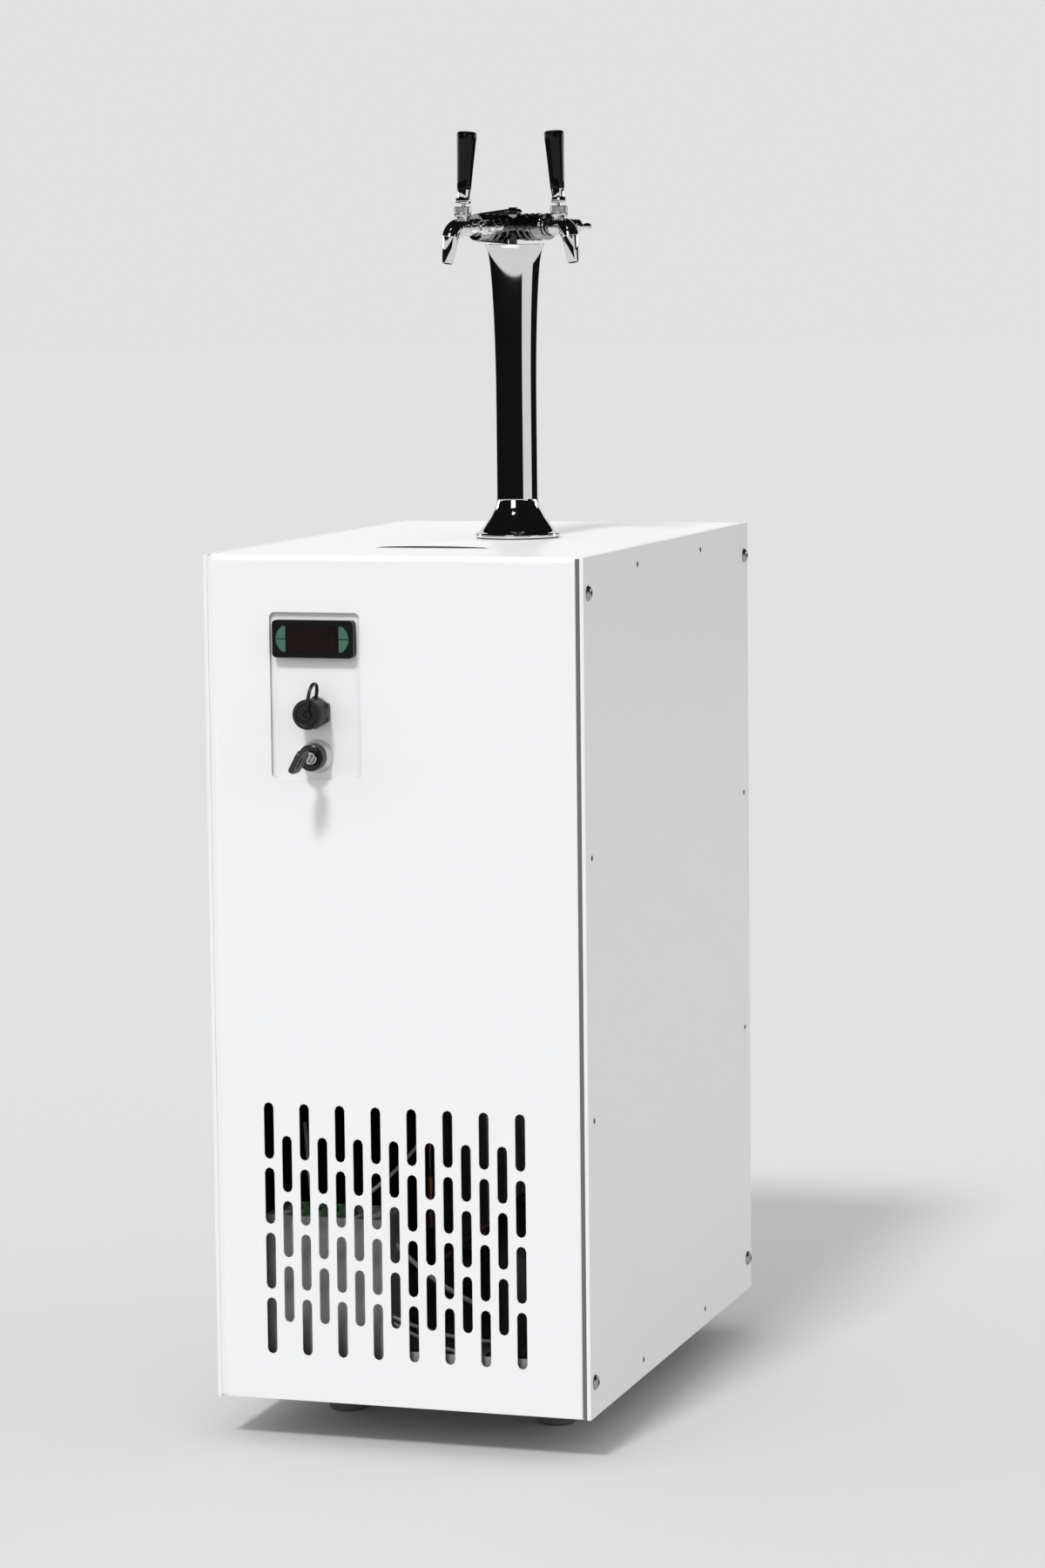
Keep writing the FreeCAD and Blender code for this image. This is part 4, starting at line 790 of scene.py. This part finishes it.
def tap(name, side):
    """One tap on its arm, with the handle leaning on its pivot and the flow lever in its hub."""
    upright = head_place() @ turn(side * ARM_SPREAD, "Z") @ shift(z=ARM_HEIGHT)
    leaning = upright @ shift(0, -TAP_REACH, PIVOT_HEIGHT) @ turn(-HANDLE_LEAN, "X") @ shift(z=-PIVOT_HEIGHT)
    aside = upright @ shift(HUB_REACH, HUB_BACK - TAP_REACH, 0) @ turn(90, "Y")
    fixed, tilting, turning = "cabinet", name + "_handle", name + "_flow"
    rows = [
        ("shank", tap_flange(), upright, fixed, dark_reflection_chrome, "chrome", "tap_shank", 35),
        ("tap", tap_body(), upright, fixed, chrome, "chrome", "tap_body", 35),
        ("bonnet", tap_bonnet(), upright, fixed, satin_chrome, "chrome", "tap_collar", 25),
        ("stem", tap_stem(), leaning, tilting, chrome, "steel", "tap_lever", 35),
        ("lock_nut", tap_lock_nut(), leaning, tilting, chrome, "chrome", "tap_jam_nut", 30),
        ("ferrule", tap_ferrule(), leaning, tilting, chrome, "chrome", "tap_ferrule", 35),
        ("handle", tap_handle(), leaning, tilting, gloss_black, "gloss_black", "tap_handle", 50),
        ("flow_housing", flow_housing(), aside, fixed, chrome, "chrome", "flow_hub", 35),
        ("flow_lever_fine", flow_lever(), aside, turning, chrome, "chrome", "flow_lever", 35),
    ]
    for label, bm, place, body, material, slot, node, sharp in rows:
        within = bore_painted_shade if label == "tap" else None
        made_name, node_name = "%s_%s" % (name, label), "%s_%s" % (name, node)
        piece(made_name, moved(bm, place), body, material, node_name, sharp, within)


# Inside

def machinery():
    dressed("control_box", zinc_grey, 0.6)
    dressed("terminal_block", terminal_green, 0.2)
    dressed("compressor", enamel_black, 1.2, 3)
    painted("cold_block", foam_black)
    painted("condenser", fin_aluminium)
    painted("fan_shroud", black_case)
    painted("fan_motor", enamel_black)
    dressed("fan_blades", black_case, 0.2)
    dressed("refrigerant_lines", pipe_copper, sharp=60)
    dressed("beer_inlets", fitting_brass, 0.3)
    dressed("power_inlet", black_case, 0.4)


def cable(start, end, sag, radius):
    """A round cable along an arc that hangs by a sag between two points."""
    start, end = Vector(start), Vector(end)
    chord = end - start
    down = (Vector((0, 0, -1)) + chord * chord.z / chord.length_squared).normalized()
    bend = (chord.length_squared / 4 + sag * sag) / (2 * sag)
    centre = (start + end) / 2 - down * (bend - sag)
    axis = (start - centre).cross(end - centre).normalized()
    way = axis.cross(start - centre).normalized()
    bm = bmesh.new()
    bmesh.ops.create_circle(bm, cap_ends=False, segments=12, radius=radius)
    moved(bm, Matrix.Translation(start), Vector((0, 0, 1)).rotation_difference(way).to_matrix().to_4x4())
    bmesh.ops.spin(bm, geom=bm.verts[:] + bm.edges[:], cent=centre, axis=axis,
                   angle=(start - centre).angle(end - centre), steps=BEND_STEPS)
    return closed(bm, 20)


def wiring():
    """The grey cables at the control box and the terminal strip that show through the vents."""
    thin, thick = 1.7, 2.2
    runs = [((-96, -244, 214), (-128, -176, 276), 4, thin),
            ((-62, -246, 214), (2, -150, 300), 12, thin),
            ((-23, -226, 178), (46, -130, 96), 8, thick),
            ((-23, -240, 114), (48, -150, 74), 5, thin),
            ((-23, -236, 107), (44, -160, 60), 5, thin)]
    piece("wiring_cables", together(*[cable(*run) for run in runs]), "cabinet", cable_grey)


# Floor, light and camera, in metres

WALL_RADIUS = 3.4
WALL_TOP = 5.0
CARD_RADIUS = 3.2
DARK = 0.006
WHITE = (1, 1, 1, 1)


def floor():
    """A wide pale floor that gives less light back to the object than its own shade would."""
    bm = bmesh.new()
    bmesh.ops.create_circle(bm, cap_ends=True, segments=96, radius=60.0)
    made = new_object("floor", bm)
    material = bpy.data.materials.new("pale_floor")
    material.use_nodes = True
    tree = material.node_tree
    shader = tree.nodes["Principled BSDF"]
    shader.inputs["Roughness"].default_value = 1.0
    shader.inputs["Specular IOR Level"].default_value = 0.0
    shade = tree.nodes.new("ShaderNodeMix")
    shade.data_type = "RGBA"
    shade.inputs["A"].default_value = (0.61, 0.61, 0.61, 1)
    shade.inputs["B"].default_value = (0.30, 0.30, 0.30, 1)
    feed(tree, shade.inputs["Factor"], tree.nodes.new("ShaderNodeLightPath").outputs["Is Diffuse Ray"])
    feed(tree, shader.inputs["Base Color"], shade.outputs["Result"])
    made.data.materials.append(material)


def card(name, first, last, profile, strength):
    """A card turned round the object between two directions, seen only in reflections.

    Directions are degrees from the front towards the right.
    """
    sweep, degrees_a_step, least_steps = last - first, 4, 4
    bm = turned(profile, max(least_steps, int(sweep / degrees_a_step)), sweep)
    made = new_object(name, moved(bm, turn(first - 90, "Z")))
    material = bpy.data.materials.new(name)
    material.use_nodes = True
    tree = material.node_tree
    tree.nodes.clear()
    glow = tree.nodes.new("ShaderNodeEmission")
    glow.inputs["Color"].default_value = WHITE
    glow.inputs["Strength"].default_value = strength
    feed(tree, tree.nodes.new("ShaderNodeOutputMaterial").inputs["Surface"], glow.outputs[0])
    made.data.materials.append(material)
    made.visible_camera = made.visible_diffuse = made.visible_shadow = made.visible_transmission = False


def standing(radius, low, high):
    return [(radius, low), (radius, high)]


def studio():
    """Dark walls and a roof that chrome mirrors, with three bright cards in front of them."""
    for name, first, last in (("right", 107, 170), ("left", 226, 412)):
        card("dark_band_" + name, first, last, standing(WALL_RADIUS, 0.52, 1.14), DARK)
        card("dark_wall_" + name, first, last, standing(WALL_RADIUS, 1.5, WALL_TOP), DARK)
    card("dark_roof", 0, FULL_TURN, [(0.0, WALL_TOP), (WALL_RADIUS, WALL_TOP)], DARK)
    card("dark_wall_between", 52, 78, standing(WALL_RADIUS, 1.7, WALL_TOP), DARK)
    card("dark_wall_beside", 78, 107, standing(WALL_RADIUS, 1.06, WALL_TOP), DARK)
    card("dark_wall_back", 170, 226, standing(WALL_RADIUS, 2.6, WALL_TOP), DARK)
    card("bright_card_front", -17, 7, standing(CARD_RADIUS, 1.6, 2.9), 1.5)
    card("bright_card_left", 246, 258, standing(CARD_RADIUS, 1.12, 1.7), 5.0)
    card("bright_card_right", 130, 143, standing(CARD_RADIUS, 1.12, 1.7), 5.0)


def soft_light_level(tree):
    """The strength of the world's light: more from the sides, less from above, and little from below."""
    way = tree.nodes.new("ShaderNodeSeparateXYZ")
    feed(tree, way.inputs[0], tree.nodes.new("ShaderNodeTexCoord").outputs["Generated"])
    rise = tree.nodes.new("ShaderNodeMapRange")
    rise.inputs["From Min"].default_value = -0.4
    rise.inputs["From Max"].default_value = -0.1
    rise.inputs["To Min"].default_value = 0.15
    feed(tree, rise.inputs["Value"], maths(tree, "MULTIPLY_ADD", way.outputs["Y"], 0.1, way.outputs["Z"]))
    sides = maths(tree, "MULTIPLY_ADD", maths(tree, "ABSOLUTE", way.outputs["X"]), 0.5, 0.70)
    above = maths(tree, "MULTIPLY_ADD", way.outputs["Z"], -0.36, 1.13)
    return maths(tree, "MULTIPLY", maths(tree, "MULTIPLY", sides, above), rise.outputs["Result"])


def world():
    """Soft light on the object, and a plain pale backdrop for the camera, gloss and glass."""
    made = bpy.data.worlds.new("studio")
    bpy.context.scene.world = made
    made.use_nodes = True
    tree = made.node_tree
    tree.nodes.clear()
    path = tree.nodes.new("ShaderNodeLightPath").outputs
    shown = maths(tree, "MAXIMUM", path["Is Camera Ray"], path["Is Glossy Ray"])
    shown = maths(tree, "MAXIMUM", shown, path["Is Transmission Ray"])
    mix = tree.nodes.new("ShaderNodeMixShader")
    feed(tree, mix.inputs["Fac"], shown)
    for socket, strength in ((mix.inputs[1], soft_light_level(tree)), (mix.inputs[2], 0.752)):
        light = tree.nodes.new("ShaderNodeBackground")
        light.inputs["Color"].default_value = WHITE
        feed(tree, light.inputs["Strength"], strength)
        feed(tree, socket, light.outputs[0])
    feed(tree, tree.nodes.new("ShaderNodeOutputWorld").inputs["Surface"], mix.outputs[0])


def key_light():
    lamp = bpy.data.lights.new("key_light", "SUN")
    lamp.energy = 1.75
    lamp.angle = math.radians(9)
    made = bpy.data.objects.new("key_light", lamp)
    made.rotation_mode = "QUATERNION"
    made.rotation_quaternion = Vector((0.06, 0.64, -0.75)).to_track_quat("-Z", "Y")
    bpy.context.scene.collection.objects.link(made)


def camera():
    """The photograph's camera, as it was fitted to the cabinet's edges."""
    lens = bpy.data.cameras.new("camera")
    lens.lens = 104.571
    lens.sensor_width = 36
    made = bpy.data.objects.new("camera", lens)
    made.location = (1.3265, -4.070, 1.056)
    made.rotation_euler = [math.radians(angle) for angle in (83.5812, 0.6191, 17.5876)]
    bpy.context.scene.collection.objects.link(made)
    bpy.context.scene.camera = made


cabinet()
drip_insert()
cover_beads()
side_bolts()
side_rivets()
thermostat()
port()
port_strap()
key_switch()
switch_key()
tower()
head()
tap("left", -1)
tap("right", 1)
machinery()
wiring()
floor()
studio()
world()
key_light()
camera()
bpy.context.scene.view_settings.view_transform = "Standard"
